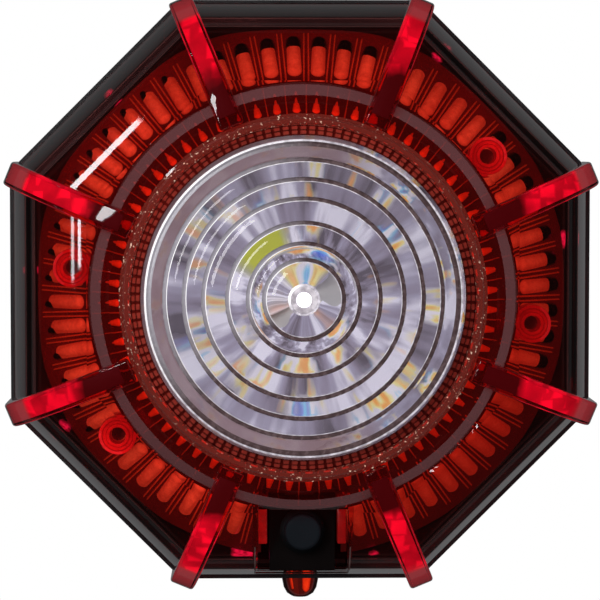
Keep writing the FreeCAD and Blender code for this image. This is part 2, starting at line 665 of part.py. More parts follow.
def make_board_parts():
    side, top = d.can_radius, d.can_height
    can = turned("can", [(0, 0), (side, 0), (side, 1.4), (side - 0.3, 1.8), (side, 2.2),
                         (side, top - 0.4, 0.5),
                         (side - 0.4, top), (0, top)])
    finish("storage_capacitor", can, False)
    put(can, d.tall_across, d.tall_up, BOARD_FRONT, True)
    flange, top = d.coil_radius, d.coil_height
    coil = turned("coil", [(0, 0), (flange, 0), (flange, 1), (d.coil_core, 1), (d.coil_core, top - 1),
                           (flange, top - 1), (flange, top), (0, top)])
    finish("boost_inductor", coil, False)
    put(coil, -d.tall_across, d.tall_up, BOARD_FRONT, True)
    chip = block("chip", (d.chip_side, d.chip_side, d.chip_depth), (-d.chip_corner, -d.chip_corner),
                 BOARD_FRONT, True)
    finish("control_chip", chip, False)
    tiny = []
    for row in range(2):
        for place in range(5):
            name = "tiny_%d_%d" % (row, place)
            tiny.append(block(name, (2, 1.25, 0.6), (14 + 3.2 * place, -20 - 3 * row), BOARD_FRONT))
    finish("chip_parts", group("tiny_group", tiny))


# Sounder on the back of the main board: cup, piezo disc and clamp ring.

def make_sounder():
    up = d.sounder_up
    front = d.tray_front
    back = front - d.cup_depth
    cup = rod("cup_blank", d.cup_radius, d.cup_depth, 0, up, back)
    room = rod("cup_room", d.cup_radius - d.cup_wall, d.cup_depth, 0, up, back - 1.4)
    finish("sounder_cup", less("cup", cup, [room]))
    disc_back = back + 1.6
    finish("piezo_disc", rod("disc", d.disc_radius, d.disc_depth, 0, up, disc_back, True), False)
    ring = rod("clamp_blank", d.cup_radius - d.cup_wall - 0.05, d.clamp_depth, 0, up,
               disc_back - d.clamp_depth)
    hole = rod("clamp_hole", d.disc_radius - 1.6, 6, 0, up, disc_back - 3)
    finish("sounder_ring", less("clamp", ring, [hole]))


# Wiring side: terminal block, tone switch with four levers and the volume trimmer.

def make_terminals():
    depth = d.tray_front - CAVITY_BACK - 0.2
    back = CAVITY_BACK + 0.2
    blank = block("terminal_blank", (d.block_length, d.block_width, depth), (0, d.block_up), back)
    count = int(d.terminal_count.number)
    tools = []
    screws = []
    for place in range(count):
        across = d.terminal_pitch * (place - (count - 1) / 2)
        name = "terminal_%d" % place
        tools.append(rod(name + "_bore", 1.5, 2.6, across, d.block_up - 1.6, back - 0.4))
        tools.append(block(name + "_entry", (2.4, 6, 2.6), (across, d.block_up + 4), back + 2.6))
        head = rod(name + "_head", 1.4, 1.5, across, d.block_up - 1.6, back + 0.7)
        slot = block(name + "_slot", (2.2, 0.5, 1.2), (across, d.block_up - 1.6), back)
        screws.append(less(name + "_screw", head, [slot]))
    finish("terminal_block", less("terminal", blank, tools))
    finish("terminal_screws", group("terminal_screw_group", screws))


def make_tone_switch():
    back = d.tray_front - d.dip_depth
    blank = block("dip_blank", (d.dip_length, d.dip_width, d.dip_depth), (d.dip_across, -d.settings_down),
                  back)
    count = int(d.lever_count.number)
    window = d.lever_width + d.lever_travel
    tools = []
    for place in range(count):
        across = d.dip_across + d.lever_pitch * (place - (count - 1) / 2)
        tools.append(block("dip_slot_%d" % place, (d.lever_width + 0.1, window + 0.2, 2.4),
                           (across, -d.settings_down), back - 1))
        low = -d.settings_down - d.lever_travel * 0.5
        lever = block("lever_%d" % place, (d.lever_width, d.lever_width, 1.9), (across, low), back - 0.7,
                      True)
        finish("tone_lever_%d" % (place + 1), lever, False)
    finish("tone_switch_body", less("dip", blank, tools))


def make_volume_trimmer():
    back = d.tray_front - d.trimmer_depth
    down = -d.settings_down
    blank = block("trimmer_blank", (d.trimmer_side, d.trimmer_side, d.trimmer_depth),
                  (d.trimmer_across, down), back)
    bore = rod("trimmer_bore", d.rotor_radius + d.running_gap, 3, d.trimmer_across, down, back - 2)
    finish("volume_trimmer_body", less("trimmer", blank, [bore]))
    knob = rod("rotor_blank", d.rotor_radius, 1.6, d.trimmer_across, down, back - 0.7)
    slot = block("rotor_slot", (3.4, 0.8, 1.2), (d.trimmer_across, down), back - 1.1)
    arrow = block("rotor_arrow", (0.8, 1.7, 1.2), (d.trimmer_across, down + 0.85), back - 1.1)
    finish("volume_rotor", less("rotor", knob, [slot, arrow]))


# Push switch in the pocket: square body, contact, plunger and rubber cap.

def make_push_switch():
    blank = block("switch_blank", (d.switch_width, d.switch_width, d.switch_front - BOARD_FRONT),
                  (0, -d.switch_down), BOARD_FRONT)
    bore = rod("switch_bore", d.plunger_radius + d.running_gap, 20, 0, -d.cap_down, d.contact_height)
    finish("push_switch_body", less("switch", blank, [bore]))
    contact = rod("contact", d.contact_radius, d.contact_depth, 0, -d.cap_down, d.contact_height, True)
    finish("switch_contact", contact, False)
    skirt = d.switch_front + d.cap_travel + 0.3
    plunger = turned("plunger_stem", [(0, 21.8), (d.plunger_radius - 0.3, 21.8), (d.plunger_radius, 22.1),
                                      (d.plunger_radius, skirt + 0.6), (0, skirt + 0.6)])
    finish("switch_plunger", plunger, False)
    put(plunger, 0, -d.cap_down, 0, True)
    cap = turned("cap", [(0, skirt + 0.6), (d.plunger_radius, skirt + 0.6), (d.plunger_radius, skirt),
                         (d.cap_skirt, skirt), (d.cap_skirt, skirt + 0.5), (d.cap_radius, skirt + 0.9),
                         (d.cap_radius, d.cap_front - 0.7, 0.7), (d.cap_radius - 0.7, d.cap_front),
                         (0, d.cap_front)])
    finish("button_cap", cap, False)
    put(cap, 0, -d.cap_down, 0, True)


# Nose at the bottom: a rounded light pipe with the status light behind it.

def make_nose():
    flat = d.tray_flats * 0.5
    stem = turned("nose_solid", [(0, flat - 5), (d.nose_stem + 0.5, flat - 5),
                                 (d.nose_stem + 0.5, flat - 3.2), (d.nose_stem, flat - 3.2),
                                 (d.nose_stem, flat),
                                 (d.nose_radius, flat), (d.nose_radius - 0.1, flat + 1.4, 4.6),
                                 (1.5, flat + d.nose_reach), (0, flat + d.nose_reach)])
    stem.Label = "indicator_nose"
    down = FreeCAD.Rotation(FreeCAD.Vector(1, 0, 0), 180)
    stem.Placement = FreeCAD.Placement(FreeCAD.Vector(0, -d.nose_out.number, 0), down)
    subparts.append(stem)
    light = turned("light_solid", [(0, flat - 11), (1.9, flat - 11), (1.9, flat - 10), (1.5, flat - 10),
                                   (1.5, flat - 6.6, 1.5), (0, flat - 5.1)])
    light.Placement = FreeCAD.Placement(FreeCAD.Vector(0, 0, d.nose_out.number), FRONT)
    holder = block("light_holder", (3.2, 2, d.tray_front - d.nose_out - 1), (0, -flat + 10.5),
                   d.nose_out + 1)
    finish("indicator_led", joined("light", [light, holder]))


make_wall_plate()
make_base_tray()
make_tray_gasket()
make_front_cover()
make_fluted_ring()
make_strobe_lens()
make_optics()
make_screws()
make_main_board()
make_board_parts()
make_sounder()
make_terminals()
make_tone_switch()
make_volume_trimmer()
make_push_switch()
make_nose()
doc.recompute()

faults = [thing.Label for thing in doc.Objects if "Invalid" in thing.State or "Error" in thing.State]
if faults:
    raise RuntimeError("failed objects: %s" % faults)
for thing in subparts:
    if thing.Shape.isNull() or not thing.Shape.isValid() or not thing.Shape.Solids:
        raise RuntimeError("bad shape: " + thing.Label)
os.makedirs("parts", exist_ok=True)
for thing in subparts:
    thing.Shape.exportStep("parts/%s.step" % thing.Label)
    print("%-20s solids %2d volume %9.1f" % (thing.Label, len(thing.Shape.Solids), thing.Shape.Volume))
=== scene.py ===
import bpy
import json
import math
from mathutils import Matrix, Vector

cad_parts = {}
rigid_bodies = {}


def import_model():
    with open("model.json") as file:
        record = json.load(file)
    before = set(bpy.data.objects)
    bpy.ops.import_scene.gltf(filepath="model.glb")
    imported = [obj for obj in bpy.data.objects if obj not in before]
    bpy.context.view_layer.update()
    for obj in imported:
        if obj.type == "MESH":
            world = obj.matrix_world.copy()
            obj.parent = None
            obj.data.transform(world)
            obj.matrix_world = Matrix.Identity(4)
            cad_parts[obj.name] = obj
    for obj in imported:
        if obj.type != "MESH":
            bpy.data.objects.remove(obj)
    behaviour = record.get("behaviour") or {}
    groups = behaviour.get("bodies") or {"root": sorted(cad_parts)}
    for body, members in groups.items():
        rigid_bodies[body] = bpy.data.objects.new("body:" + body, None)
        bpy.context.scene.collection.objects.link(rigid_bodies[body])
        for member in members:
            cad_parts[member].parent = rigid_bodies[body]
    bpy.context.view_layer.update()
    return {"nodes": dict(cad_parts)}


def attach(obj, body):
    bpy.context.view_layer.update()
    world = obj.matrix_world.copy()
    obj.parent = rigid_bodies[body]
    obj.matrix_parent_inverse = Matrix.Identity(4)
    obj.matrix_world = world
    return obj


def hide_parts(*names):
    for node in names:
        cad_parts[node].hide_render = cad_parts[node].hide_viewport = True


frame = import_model()
nodes = frame["nodes"]

# ---------------------------------------------------------------------------
# Wall plate and tray: black moulded plastic with a fine spark-eroded texture, a little lighter in broad
# blotches. The plate is screwed to the wall and the tray hooks on to it.

mm = 0.001


def new_group(name, inputs, outputs):
    """An empty node group: inputs are (name, kind, default), outputs are (name, kind)."""
    group = bpy.data.node_groups.new(name, "ShaderNodeTree")
    for title, kind, default in inputs:
        socket = group.interface.new_socket(name=title, in_out="INPUT", socket_type="NodeSocket" + kind)
        if kind == "Float":
            socket.default_value = default
        elif kind == "Color":
            socket.default_value = (*default, 1)
    for title, kind in outputs:
        group.interface.new_socket(name=title, in_out="OUTPUT", socket_type="NodeSocket" + kind)
    return group, group.nodes.new("NodeGroupInput"), group.nodes.new("NodeGroupOutput")


def wire(tree, source, target):
    """Links an output to an input, each given as (node, socket)."""
    tree.links.new(source[0].outputs[source[1]], target[0].inputs[target[1]])


def math_node(tree, operation, first, second=None, third=None, clamp=False):
    """A math node whose inputs are numbers or (node, socket) pairs; gives its own (node, 0)."""
    node = tree.nodes.new("ShaderNodeMath")
    node.operation = operation
    node.use_clamp = clamp
    for index, value in enumerate((first, second, third)):
        if isinstance(value, tuple):
            wire(tree, value, (node, index))
        elif value is not None:
            node.inputs[index].default_value = value
    return node, 0


def noise(tree, vector, scale, detail=3.0, roughness=0.5):
    node = tree.nodes.new("ShaderNodeTexNoise")
    node.inputs["Detail"].default_value = detail
    node.inputs["Roughness"].default_value = roughness
    if isinstance(scale, tuple):
        wire(tree, scale, (node, "Scale"))
    else:
        node.inputs["Scale"].default_value = scale
    wire(tree, vector, (node, "Vector"))
    return node, "Fac"


def spread(tree, value, low, high, to_low=0.0, to_high=1.0):
    """Maps low..high to to_low..to_high, clamped."""
    node = tree.nodes.new("ShaderNodeMapRange")
    wire(tree, value, (node, "Value"))
    for title, number in (("From Min", low), ("From Max", high), ("To Min", to_low), ("To Max", to_high)):
        node.inputs[title].default_value = number
    return node, "Result"


def mixed(tree, amount, first, second, blend="MIX"):
    """A colour mix; amount is a number or a pair, the colours are RGB triples or pairs."""
    node = tree.nodes.new("ShaderNodeMix")
    node.data_type = "RGBA"
    node.blend_type = blend
    for socket, value in ((0, amount), (6, first), (7, second)):
        if isinstance(value, tuple) and hasattr(value[0], "outputs"):
            wire(tree, value, (node, socket))
        elif socket == 0:
            node.inputs[0].default_value = value
        else:
            node.inputs[socket].default_value = (*value, 1)
    return node, 2


def place(tree):
    """Object coordinates, in metres in the part's own frame."""
    return tree.nodes.new("ShaderNodeTexCoord"), "Object"


def axes(tree, vector):
    """A vector's parts: gives the node whose outputs are X, Y and Z."""
    node = tree.nodes.new("ShaderNodeSeparateXYZ")
    wire(tree, vector, (node, 0))
    return node


def moulded_grain():
    """Spark-eroded grain: a tone that varies slowly, a roughness and a bump height."""
    group, inside, outside = new_group(
        "moulded_grain",
        [("Grain", "Float", 900.0), ("Roughness", "Float", 0.5)],
        [("Tone", "Float"), ("Roughness", "Float"), ("Height", "Float")])
    where = place(group)
    grain = noise(group, where, (inside, "Grain"), 4.0, 0.6)
    blotch = noise(group, where, 45.0, 3.0)
    wire(group, spread(group, blotch, 0.3, 0.7, 0.8, 1.25), (outside, "Tone"))
    wear = spread(group, blotch, 0.35, 0.7, -0.06, 0.08)
    wire(group, math_node(group, "ADD", (inside, "Roughness"), wear), (outside, "Roughness"))
    wire(group, grain, (outside, "Height"))
    return group


grain_group = moulded_grain()


def new_material(name):
    """An empty finish: the material, its node tree and its shader."""
    material = bpy.data.materials.new(name)
    material.use_nodes = True
    tree = material.node_tree
    return material, tree, tree.nodes["Principled BSDF"]


def grouped(tree, group, **values):
    """Places a node group in a material, with its own values."""
    node = tree.nodes.new("ShaderNodeGroup")
    node.node_tree = group
    for title, value in values.items():
        node.inputs[title].default_value = value
    return node


def bumped(tree, shader, height, depth, strength=1.0):
    """Lets a height raise a surface by up to a depth in metres."""
    bump = tree.nodes.new("ShaderNodeBump")
    bump.inputs["Distance"].default_value = depth
    bump.inputs["Strength"].default_value = strength
    wire(tree, height, (bump, "Height"))
    wire(tree, (bump, "Normal"), (shader, "Normal"))


def moulded(name, dark, light, grain=900.0, roughness=0.5, depth=0.00002, metallic=0.0):
    """A moulded or coated finish: two tones, a grain and a bump."""
    material, tree, shader = new_material(name)
    group = grouped(tree, grain_group, Grain=grain, Roughness=roughness)
    amount = spread(tree, (group, "Tone"), 0.8, 1.25)
    wire(tree, mixed(tree, amount, dark, light), (shader, "Base Color"))
    wire(tree, (group, "Roughness"), (shader, "Roughness"))
    bumped(tree, shader, (group, "Height"), depth, 0.6)
    shader.inputs["Metallic"].default_value = metallic
    return material


def dress(node, material):
    """A CAD node keeps its mesh and gets a finish."""
    mesh = nodes[node].data
    mesh.materials.clear()
    mesh.materials.append(material)


black_plastic = moulded("black_moulded_plastic", (0.010, 0.010, 0.011), (0.020, 0.020, 0.022), 1400.0, 0.42)
dress("wall_plate", black_plastic)
dress("base_tray", black_plastic)

# ---------------------------------------------------------------------------
# Seals: the tray gasket is a black foam cord laid in a groove of the tray, the lens gasket a moulded
# silicone ring. Both are matt and soft-grained.

seal_rubber = moulded("seal_foam", (0.012, 0.011, 0.012), (0.03, 0.028, 0.03), 2500.0, 0.75, 0.00005)
dress("tray_gasket", seal_rubber)
dress("lens_gasket", seal_rubber)

# ---------------------------------------------------------------------------
# Boards and what stands on them: a black and a white solder mask on glass-fibre board, moulded packages, a
# sleeved capacitor can, a wound drum coil, and the sounder's brass disc in its grey cup. Screws are zinc
# plated steel, the terminal block and the setting switches are moulded in their usual colours.

board_mask = moulded("black_solder_mask", (0.003, 0.001, 0.001), (0.010, 0.002, 0.002), 300.0, 0.3)
white_mask = moulded("white_solder_mask", (0.55, 0.55, 0.52), (0.72, 0.72, 0.70), 300.0, 0.35)
chip_black = moulded("package_black", (0.012, 0.012, 0.013), (0.03, 0.03, 0.03), 1500.0, 0.5)
can_sleeve = moulded("can_sleeve", (0.01, 0.01, 0.03), (0.02, 0.02, 0.05), 200.0, 0.25)
aluminium = moulded("turned_aluminium", (0.55, 0.56, 0.58), (0.75, 0.76, 0.78), 1200.0, 0.32, 0.00002, 1.0)
zinc_steel = moulded("zinc_plated_steel", (0.42, 0.42, 0.44), (0.62, 0.62, 0.60), 1500.0, 0.3, 0.00002, 1.0)
piezo_brass = moulded("rolled_brass", (0.55, 0.38, 0.14), (0.75, 0.56, 0.25), 600.0, 0.3, 0.00002, 1.0)
grey_plastic = moulded("grey_moulded_plastic", (0.10, 0.10, 0.11), (0.16, 0.16, 0.17), 1200.0, 0.5)
terminal_green = moulded("terminal_green", (0.02, 0.16, 0.07), (0.04, 0.26, 0.11), 900.0, 0.35)
dip_red = moulded("switch_red", (0.30, 0.02, 0.02), (0.45, 0.04, 0.03), 900.0, 0.35)
white_plastic = moulded("white_levers", (0.60, 0.60, 0.57), (0.78, 0.78, 0.75), 900.0, 0.4)
trimmer_blue = moulded("trimmer_blue", (0.03, 0.10, 0.36), (0.05, 0.16, 0.50), 900.0, 0.35)


def distance_from(tree, point):
    """Distance from a point given in mm."""
    node = tree.nodes.new("ShaderNodeVectorMath")
    node.operation = "DISTANCE"
    node.inputs[1].default_value = [part * mm for part in point]
    wire(tree, place(tree), (node, 0))
    return node, "Value"


def glowing(tree, shader, colour, strength, base=True):
    """Gives a shader a colour that also glows a little: painted light, standing in for light carried inside the
    plastic.
    """
    wire(tree, colour, (shader, "Emission Color"))
    shader.inputs["Emission Strength"].default_value = strength
    if base:
        wire(tree, colour, (shader, "Base Color"))


# Painted glints: where the cover's wall bends the light of the ribs down, small crimson spots are painted to glow on
# the board's edge.
tree = board_mask.node_tree
shader = tree.nodes["Principled BSDF"]
glints = None
for glint_x, glint_z, glint_size in ((-10.9, -50.2, 2.4), (-45.2, -25.8, 1.2), (50.6, 10.0, 1.6), (26.2, 44.8, 1.2),
                                     (-35.4, 36.6, 0.9), (14.0, -50.4, 0.8), (-50.6, 4.0, 0.6)):
    offset = distance_from(tree, (glint_x, -13.6, glint_z))
    edge = math_node(tree, "MULTIPLY_ADD", noise(tree, place(tree), 700.0), 0.0012, offset)
    spot = spread(tree, edge, glint_size * mm, (glint_size + 0.9) * mm, 1.0, 0.0)
    glints = spot if glints is None else math_node(tree, "MAXIMUM", glints, spot)
glint_tone = mixed(tree, spread(tree, noise(tree, place(tree), 1300.0), 0.35, 0.6), (0.34, 0.001, 0.045),
                   (0.98, 0.02, 0.21))
glowing(tree, shader, mixed(tree, glints, (0.0, 0.0, 0.0), glint_tone), 1.0, base=False)

for names, material in (
        (("main_board",), board_mask), (("led_board", "indicator_led"), white_mask),
        (("control_chip", "chip_parts", "boost_inductor"), chip_black), (("storage_capacitor",), can_sleeve),
        (("heat_sink",), aluminium), (("cover_screws", "board_screws", "lock_screw", "terminal_screws"), zinc_steel),
        (("piezo_disc", "switch_contact"), piezo_brass), (("sounder_cup", "sounder_ring"), grey_plastic),
        (("terminal_block",), terminal_green), (("tone_switch_body",), dip_red),
        (("tone_lever_1", "tone_lever_2", "tone_lever_3", "tone_lever_4"), white_plastic),
        (("volume_rotor", "switch_plunger"), white_plastic), (("volume_trimmer_body",), trimmer_blue)):
    for name in names:
        dress(name, material)

# ---------------------------------------------------------------------------
# Fluted ring: one clear orange-red moulding that slopes from the board up to the lens. Its face carries
# sixty long bars with a pair of fine ridges between each and small drops on the crest, all glowing with
# painted light; black pieces beyond the bars in three sectors are painted shade of the hollows there.


def clear_selection():
    if bpy.context.object and bpy.context.object.mode != "OBJECT":
        bpy.ops.object.mode_set(mode="OBJECT")
    bpy.ops.object.select_all(action="DESELECT")


def only(piece):
    """Makes a piece the one selected, active object."""
    clear_selection()
    piece.select_set(True)
    bpy.context.view_layer.objects.active = piece


def turned_strip(name, outline, sides=128, cuts=0, close=False):
    """Turns an outline of (radius, distance from the wall) in mm about the lens axis, one ring of edges
    at a time. Eight sides make an octagon with upright flats; the radius is then the one to a flat."""
    clear_selection()
    reach = 1 / math.cos(math.pi / 8) if sides == 8 else 1
    radius, depth = outline[0]
    bpy.ops.mesh.primitive_circle_add(vertices=sides, radius=radius * reach * mm, location=(0, -depth * mm, 0),
                                      rotation=(math.pi / 2, math.pi / 8 if sides == 8 else 0, 0))
    piece = bpy.context.object
    piece.name = name
    bpy.ops.object.transform_apply(location=True, rotation=True, scale=True)
    bpy.ops.object.mode_set(mode="EDIT")
    bpy.ops.mesh.select_all(action="SELECT")
    if cuts:
        bpy.ops.mesh.subdivide(number_cuts=cuts)
    for next_radius, next_depth in list(outline[1:]) + ([outline[0]] if close else []):
        bpy.ops.mesh.extrude_edges_move(TRANSFORM_OT_translate={"value": (0, (depth - next_depth) * mm, 0)})
        factor = next_radius / radius
        bpy.ops.transform.resize(value=(factor, 1, factor), center_override=(0, 0, 0))
        radius, depth = next_radius, next_depth
    bpy.ops.object.mode_set(mode="OBJECT")
    return piece


def seal_up(piece):
    """Merges doubles and turns the faces outwards."""
    only(piece)
    bpy.ops.object.mode_set(mode="EDIT")
    bpy.ops.mesh.select_all(action="SELECT")
    bpy.ops.mesh.remove_doubles(threshold=1e-7)
    bpy.ops.mesh.normals_make_consistent(inside=False)
    bpy.ops.object.mode_set(mode="OBJECT")


def lathe(name, outline, sides=128):
    """A closed turned piece."""
    piece = turned_strip(name, outline, sides, close=True)
    seal_up(piece)
    return piece


def apply_modifier(piece, kind, **settings):
    only(piece)
    modifier = piece.modifiers.new(kind.lower(), kind)
    for key, value in settings.items():
        setattr(modifier, key, value)
    bpy.ops.object.modifier_apply(modifier=modifier.name)


def soften(piece, width, segments=2, angle=30.0):
    apply_modifier(piece, "BEVEL", width=width * mm, segments=segments, limit_method="ANGLE",
                   angle_limit=math.radians(angle))


def smooth(piece, angle=40.0):
    only(piece)
    bpy.ops.object.shade_smooth_by_angle(angle=math.radians(angle))


def settle(piece, move):
    """Moves a piece by a matrix and applies the move to its mesh."""
    only(piece)
    piece.matrix_world = move @ piece.matrix_world
    bpy.ops.object.transform_apply(location=True, rotation=True, scale=True)


def round_the_axis(piece, count, start, pitch):
    """Copies a piece round the lens axis; start and pitch are in degrees, anticlockwise from the right."""
    settle(piece, Matrix.Rotation(math.radians(-start), 4, "Y"))
    step = bpy.data.objects.new("step", None)
    bpy.context.scene.collection.objects.link(step)
    step.rotation_euler = (0, -math.radians(pitch), 0)
    bpy.context.view_layer.update()
    apply_modifier(piece, "ARRAY", count=count, use_relative_offset=False, use_object_offset=True,
                   offset_object=step)
    bpy.data.objects.remove(step)


def join(name, pieces):
    clear_selection()
    for piece in pieces:
        piece.select_set(True)
    bpy.context.view_layer.objects.active = pieces[0]
    bpy.ops.object.join()
    pieces[0].name = name
    return pieces[0]


def finish_piece(piece, materials, slot, *replaced, body="housing"):
    piece.data.materials.clear()
    for material in materials if isinstance(materials, (list, tuple)) else [materials]:
        piece.data.materials.append(material)
    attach(piece, body)
    if replaced:
        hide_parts(*replaced)


def box_between(name, low, high):
    """A box between two corners, in mm."""
    clear_selection()
    size = [(b - a) * mm for a, b in zip(low, high)]
    centre = [(a + b) / 2 * mm for a, b in zip(low, high)]
    bpy.ops.mesh.primitive_cube_add(size=1, location=centre)
    box = bpy.context.object
    box.name = name
    box.scale = size
    bpy.ops.object.transform_apply(location=True, rotation=True, scale=True)
    return box


def cut(piece, tool, operation="DIFFERENCE"):
    apply_modifier(piece, "BOOLEAN", operation=operation, object=tool, solver="EXACT")
    bpy.data.objects.remove(tool)


def pick(piece, test):
    """Opens a piece for editing with only the vertices selected that pass a test of their place."""
    only(piece)
    for part in (piece.data.polygons, piece.data.edges):
        part.foreach_set("select", [False] * len(part))
    for vertex in piece.data.vertices:
        vertex.select = bool(test(vertex.co))
    bpy.ops.object.mode_set(mode="EDIT")
    bpy.ops.mesh.select_mode(type="VERT")


def half_bar(name, length, width, height, point=1.0):
    """A half-round bar along +X with round ends, bulging toward the front; its far end may be pointed."""
    clear_selection()
    bpy.ops.mesh.primitive_uv_sphere_add(segments=16, ring_count=8, radius=width / 2 * mm,
                                         rotation=(0, math.pi / 2, 0))
    bar = bpy.context.object
    bar.name = name
    bpy.ops.object.transform_apply(location=True, rotation=True, scale=True)
    pick(bar, lambda place_at: place_at.x > 1e-6)
    bpy.ops.transform.translate(value=((length - width) * mm, 0, 0))
    bpy.ops.transform.resize(value=(1, 1, point), center_override=(0, 0, 0))
    bpy.ops.mesh.select_all(action="SELECT")
    bpy.ops.transform.resize(value=(1, 2 * height / width, 1), center_override=(0, 0, 0))
    bpy.ops.mesh.bisect(plane_co=(0, 0.0002, 0), plane_no=(0, 1, 0), clear_outer=True, use_fill=True)
    bpy.ops.object.mode_set(mode="OBJECT")
    return bar


FLUTES = 60
FLUTE_PITCH = 360 / FLUTES
RING_PHASE = 91.9
ring_foot, ring_foot_depth = 50.6, 14.6
ring_crest, ring_crest_depth = 33.4, 33.4
ring_slope = math.atan2(ring_crest_depth - ring_foot_depth, ring_foot - ring_crest)


def on_face(piece, radius, sideways=0.0):
    """Lays a piece modelled along +X on the ring's slope, its end at a radius, sideways by some mm."""
    depth = ring_crest_depth + (ring_crest - radius) * math.tan(ring_slope)
    put = Matrix.Translation(Vector((radius, -depth, sideways)) * mm)
    settle(piece, put @ Matrix.Rotation(ring_slope, 4, "Z"))


def lens_axis_place():
    """Radius and angle round the lens axis, from Object coordinates."""
    group, inside, outside = new_group("lens_axis_place", [], [("Radius", "Float"), ("Angle", "Float")])
    split = axes(group, place(group))
    across, up = (split, "X"), (split, "Z")
    square = math_node(group, "MULTIPLY_ADD", up, up, math_node(group, "MULTIPLY", across, across))
    wire(group, math_node(group, "SQRT", square), (outside, "Radius"))
    wire(group, math_node(group, "ARCTAN2", up, across), (outside, "Angle"))
    return group


polar_group = lens_axis_place()


def painted_plastic_light():
    """Painted light for clear plastic: a brightness that is less toward the lens, with fine flow marks, and more on
    the side of the ring that faces the light at the upper left and in some stretches of it; also a roughness."""
    group, inside, outside = new_group(
        "painted_plastic_light", [("Inner", "Float", 0.0395), ("Outer", "Float", 0.044), ("Roughness", "Float", 0.2)],
        [("Light", "Float"), ("Roughness", "Float")])
    where = place(group)
    reach, result = spread(group, (grouped(group, polar_group), "Radius"), 0, 1, 0.15, 1.0)
    wire(group, (inside, "Inner"), (reach, "From Min"))
    wire(group, (inside, "Outer"), (reach, "From Max"))
    flow = spread(group, noise(group, where, 1100.0, 3.0), 0.3, 0.7, 0.7, 1.15)
    stretch = spread(group, noise(group, where, 26.0, 2.0), 0.38, 0.62, 0.5, 1.1)
    split = axes(group, where)
    lit_side = math_node(group, "MULTIPLY_ADD", (split, "Z"), 0.4, math_node(group, "MULTIPLY", (split, "X"), -1.0))
    side = spread(group, lit_side, -0.045, 0.012, 0.35, 1.1)
    light = math_node(group, "MULTIPLY", math_node(group, "MULTIPLY", (reach, result), flow), stretch)
    wire(group, math_node(group, "MULTIPLY", light, side), (outside, "Light"))
    wear = spread(group, noise(group, where, 300.0), 0.3, 0.7, 0.0, 0.15)
    wire(group, math_node(group, "ADD", (inside, "Roughness"), wear), (outside, "Roughness"))
    return group


painted_light_group = painted_plastic_light()


def ring_plastic(name, dark, bright, glow, inner=0.0395, outer=0.044, rough=0.2):
    """Clear orange-red plastic that glows with the painted light, with painted shade where it turns away from view.
    """
    material, tree, shader = new_material(name)
    # depth here is the painted light of the shared group.
    depth = grouped(tree, painted_light_group, Inner=inner, Outer=outer, Roughness=rough)
    turned_away = tree.nodes.new("ShaderNodeLayerWeight")
    painted_turning_shade = spread(tree, (turned_away, "Facing"), 0.10, 0.62, 1.05, 0.25)
    amount = math_node(tree, "MULTIPLY", (depth, "Light"), painted_turning_shade, clamp=True)
    glowing(tree, shader, mixed(tree, amount, dark, bright), glow)
    wire(tree, (depth, "Roughness"), (shader, "Roughness"))
    shader.inputs["Coat Weight"].default_value = 0.5
    return material


# These ring finishes glow with painted light, brightest on the ring's upper-left side.
ring_deep = ring_plastic("ring_deep_maroon", (0.045, 0.002, 0.002), (0.22, 0.012, 0.010), 0.35)
ring_bright = ring_plastic("ring_bright_orange", (0.18, 0.010, 0.004), (1.0, 0.27, 0.12), 1.05)
ring_line = ring_plastic("ring_ridge_orange", (0.25, 0.02, 0.006), (0.95, 0.20, 0.06), 0.5)
ring_drop = ring_plastic("ring_drop_red", (0.35, 0.02, 0.004), (0.75, 0.06, 0.015), 0.6, 0.030, 0.0335)
# Black for the hollows beyond the bars: painted shade.
painted_hollow_shade = moulded("ring_hollow_painted_shade", (0.002, 0.0015, 0.0015), (0.008, 0.002, 0.002), 500.0, 0.3)


def keep_notch_clear(piece):
    """Takes away whatever stands in the ring's notch for the push switch."""
    pick(piece, lambda place_at: abs(place_at.x) < 7.4 * mm and place_at.z < -38.4 * mm)
    bpy.ops.mesh.select_linked()
    bpy.ops.mesh.delete(type="VERT")
    bpy.ops.object.mode_set(mode="OBJECT")


ring_shell = lathe("ring_shell", [(29.3, 32.0), (32.4, 32.0), (48.6, 14.3), (48.6, 13.6), (50.6, 13.6),
                                  (50.6, 14.6), (33.4, 33.4), (29.3, 33.4)])
cut(ring_shell, box_between("notch", (-7.6, -40, -56), (7.6, -10, -38.4)))
soften(ring_shell, 0.2)
smooth(ring_shell)
finish_piece(ring_shell, ring_deep, "flute_red", "fluted_ring")

for name, length, width, height, radius, sideways, start, count, material in (
        ("ring_bars", 10.0, 2.75, 1.05, 41.2, 0.0, RING_PHASE, FLUTES, ring_bright),
        ("ring_ridges_left", 14.4, 0.36, 0.5, 39.0, 0.42, RING_PHASE + FLUTE_PITCH / 2, FLUTES, ring_line),
        ("ring_ridges_right", 14.4, 0.36, 0.5, 39.0, -0.42, RING_PHASE + FLUTE_PITCH / 2, FLUTES, ring_line),
        # The three hollow rows are black painted shade, laid only in the sectors where the hollows look dark.
        ("ring_hollow_shade_top", 3.8, 2.95, 1.35, 46.0, 0.0, RING_PHASE - 4 * FLUTE_PITCH, 8, painted_hollow_shade),
        ("ring_hollow_shade_right", 3.8, 2.95, 1.35, 46.4, 0.0, RING_PHASE - 19 * FLUTE_PITCH, 11, painted_hollow_shade),
        ("ring_hollow_shade_left", 2.4, 1.6, 1.25, 46.4, 0.5, RING_PHASE + 5 * FLUTE_PITCH, 16, painted_hollow_shade)):
    bar = half_bar(name, length, width, height)
    on_face(bar, radius, sideways)
    round_the_axis(bar, count, start, FLUTE_PITCH)
    keep_notch_clear(bar)
    smooth(bar, 50)
    finish_piece(bar, material, "flute_red")

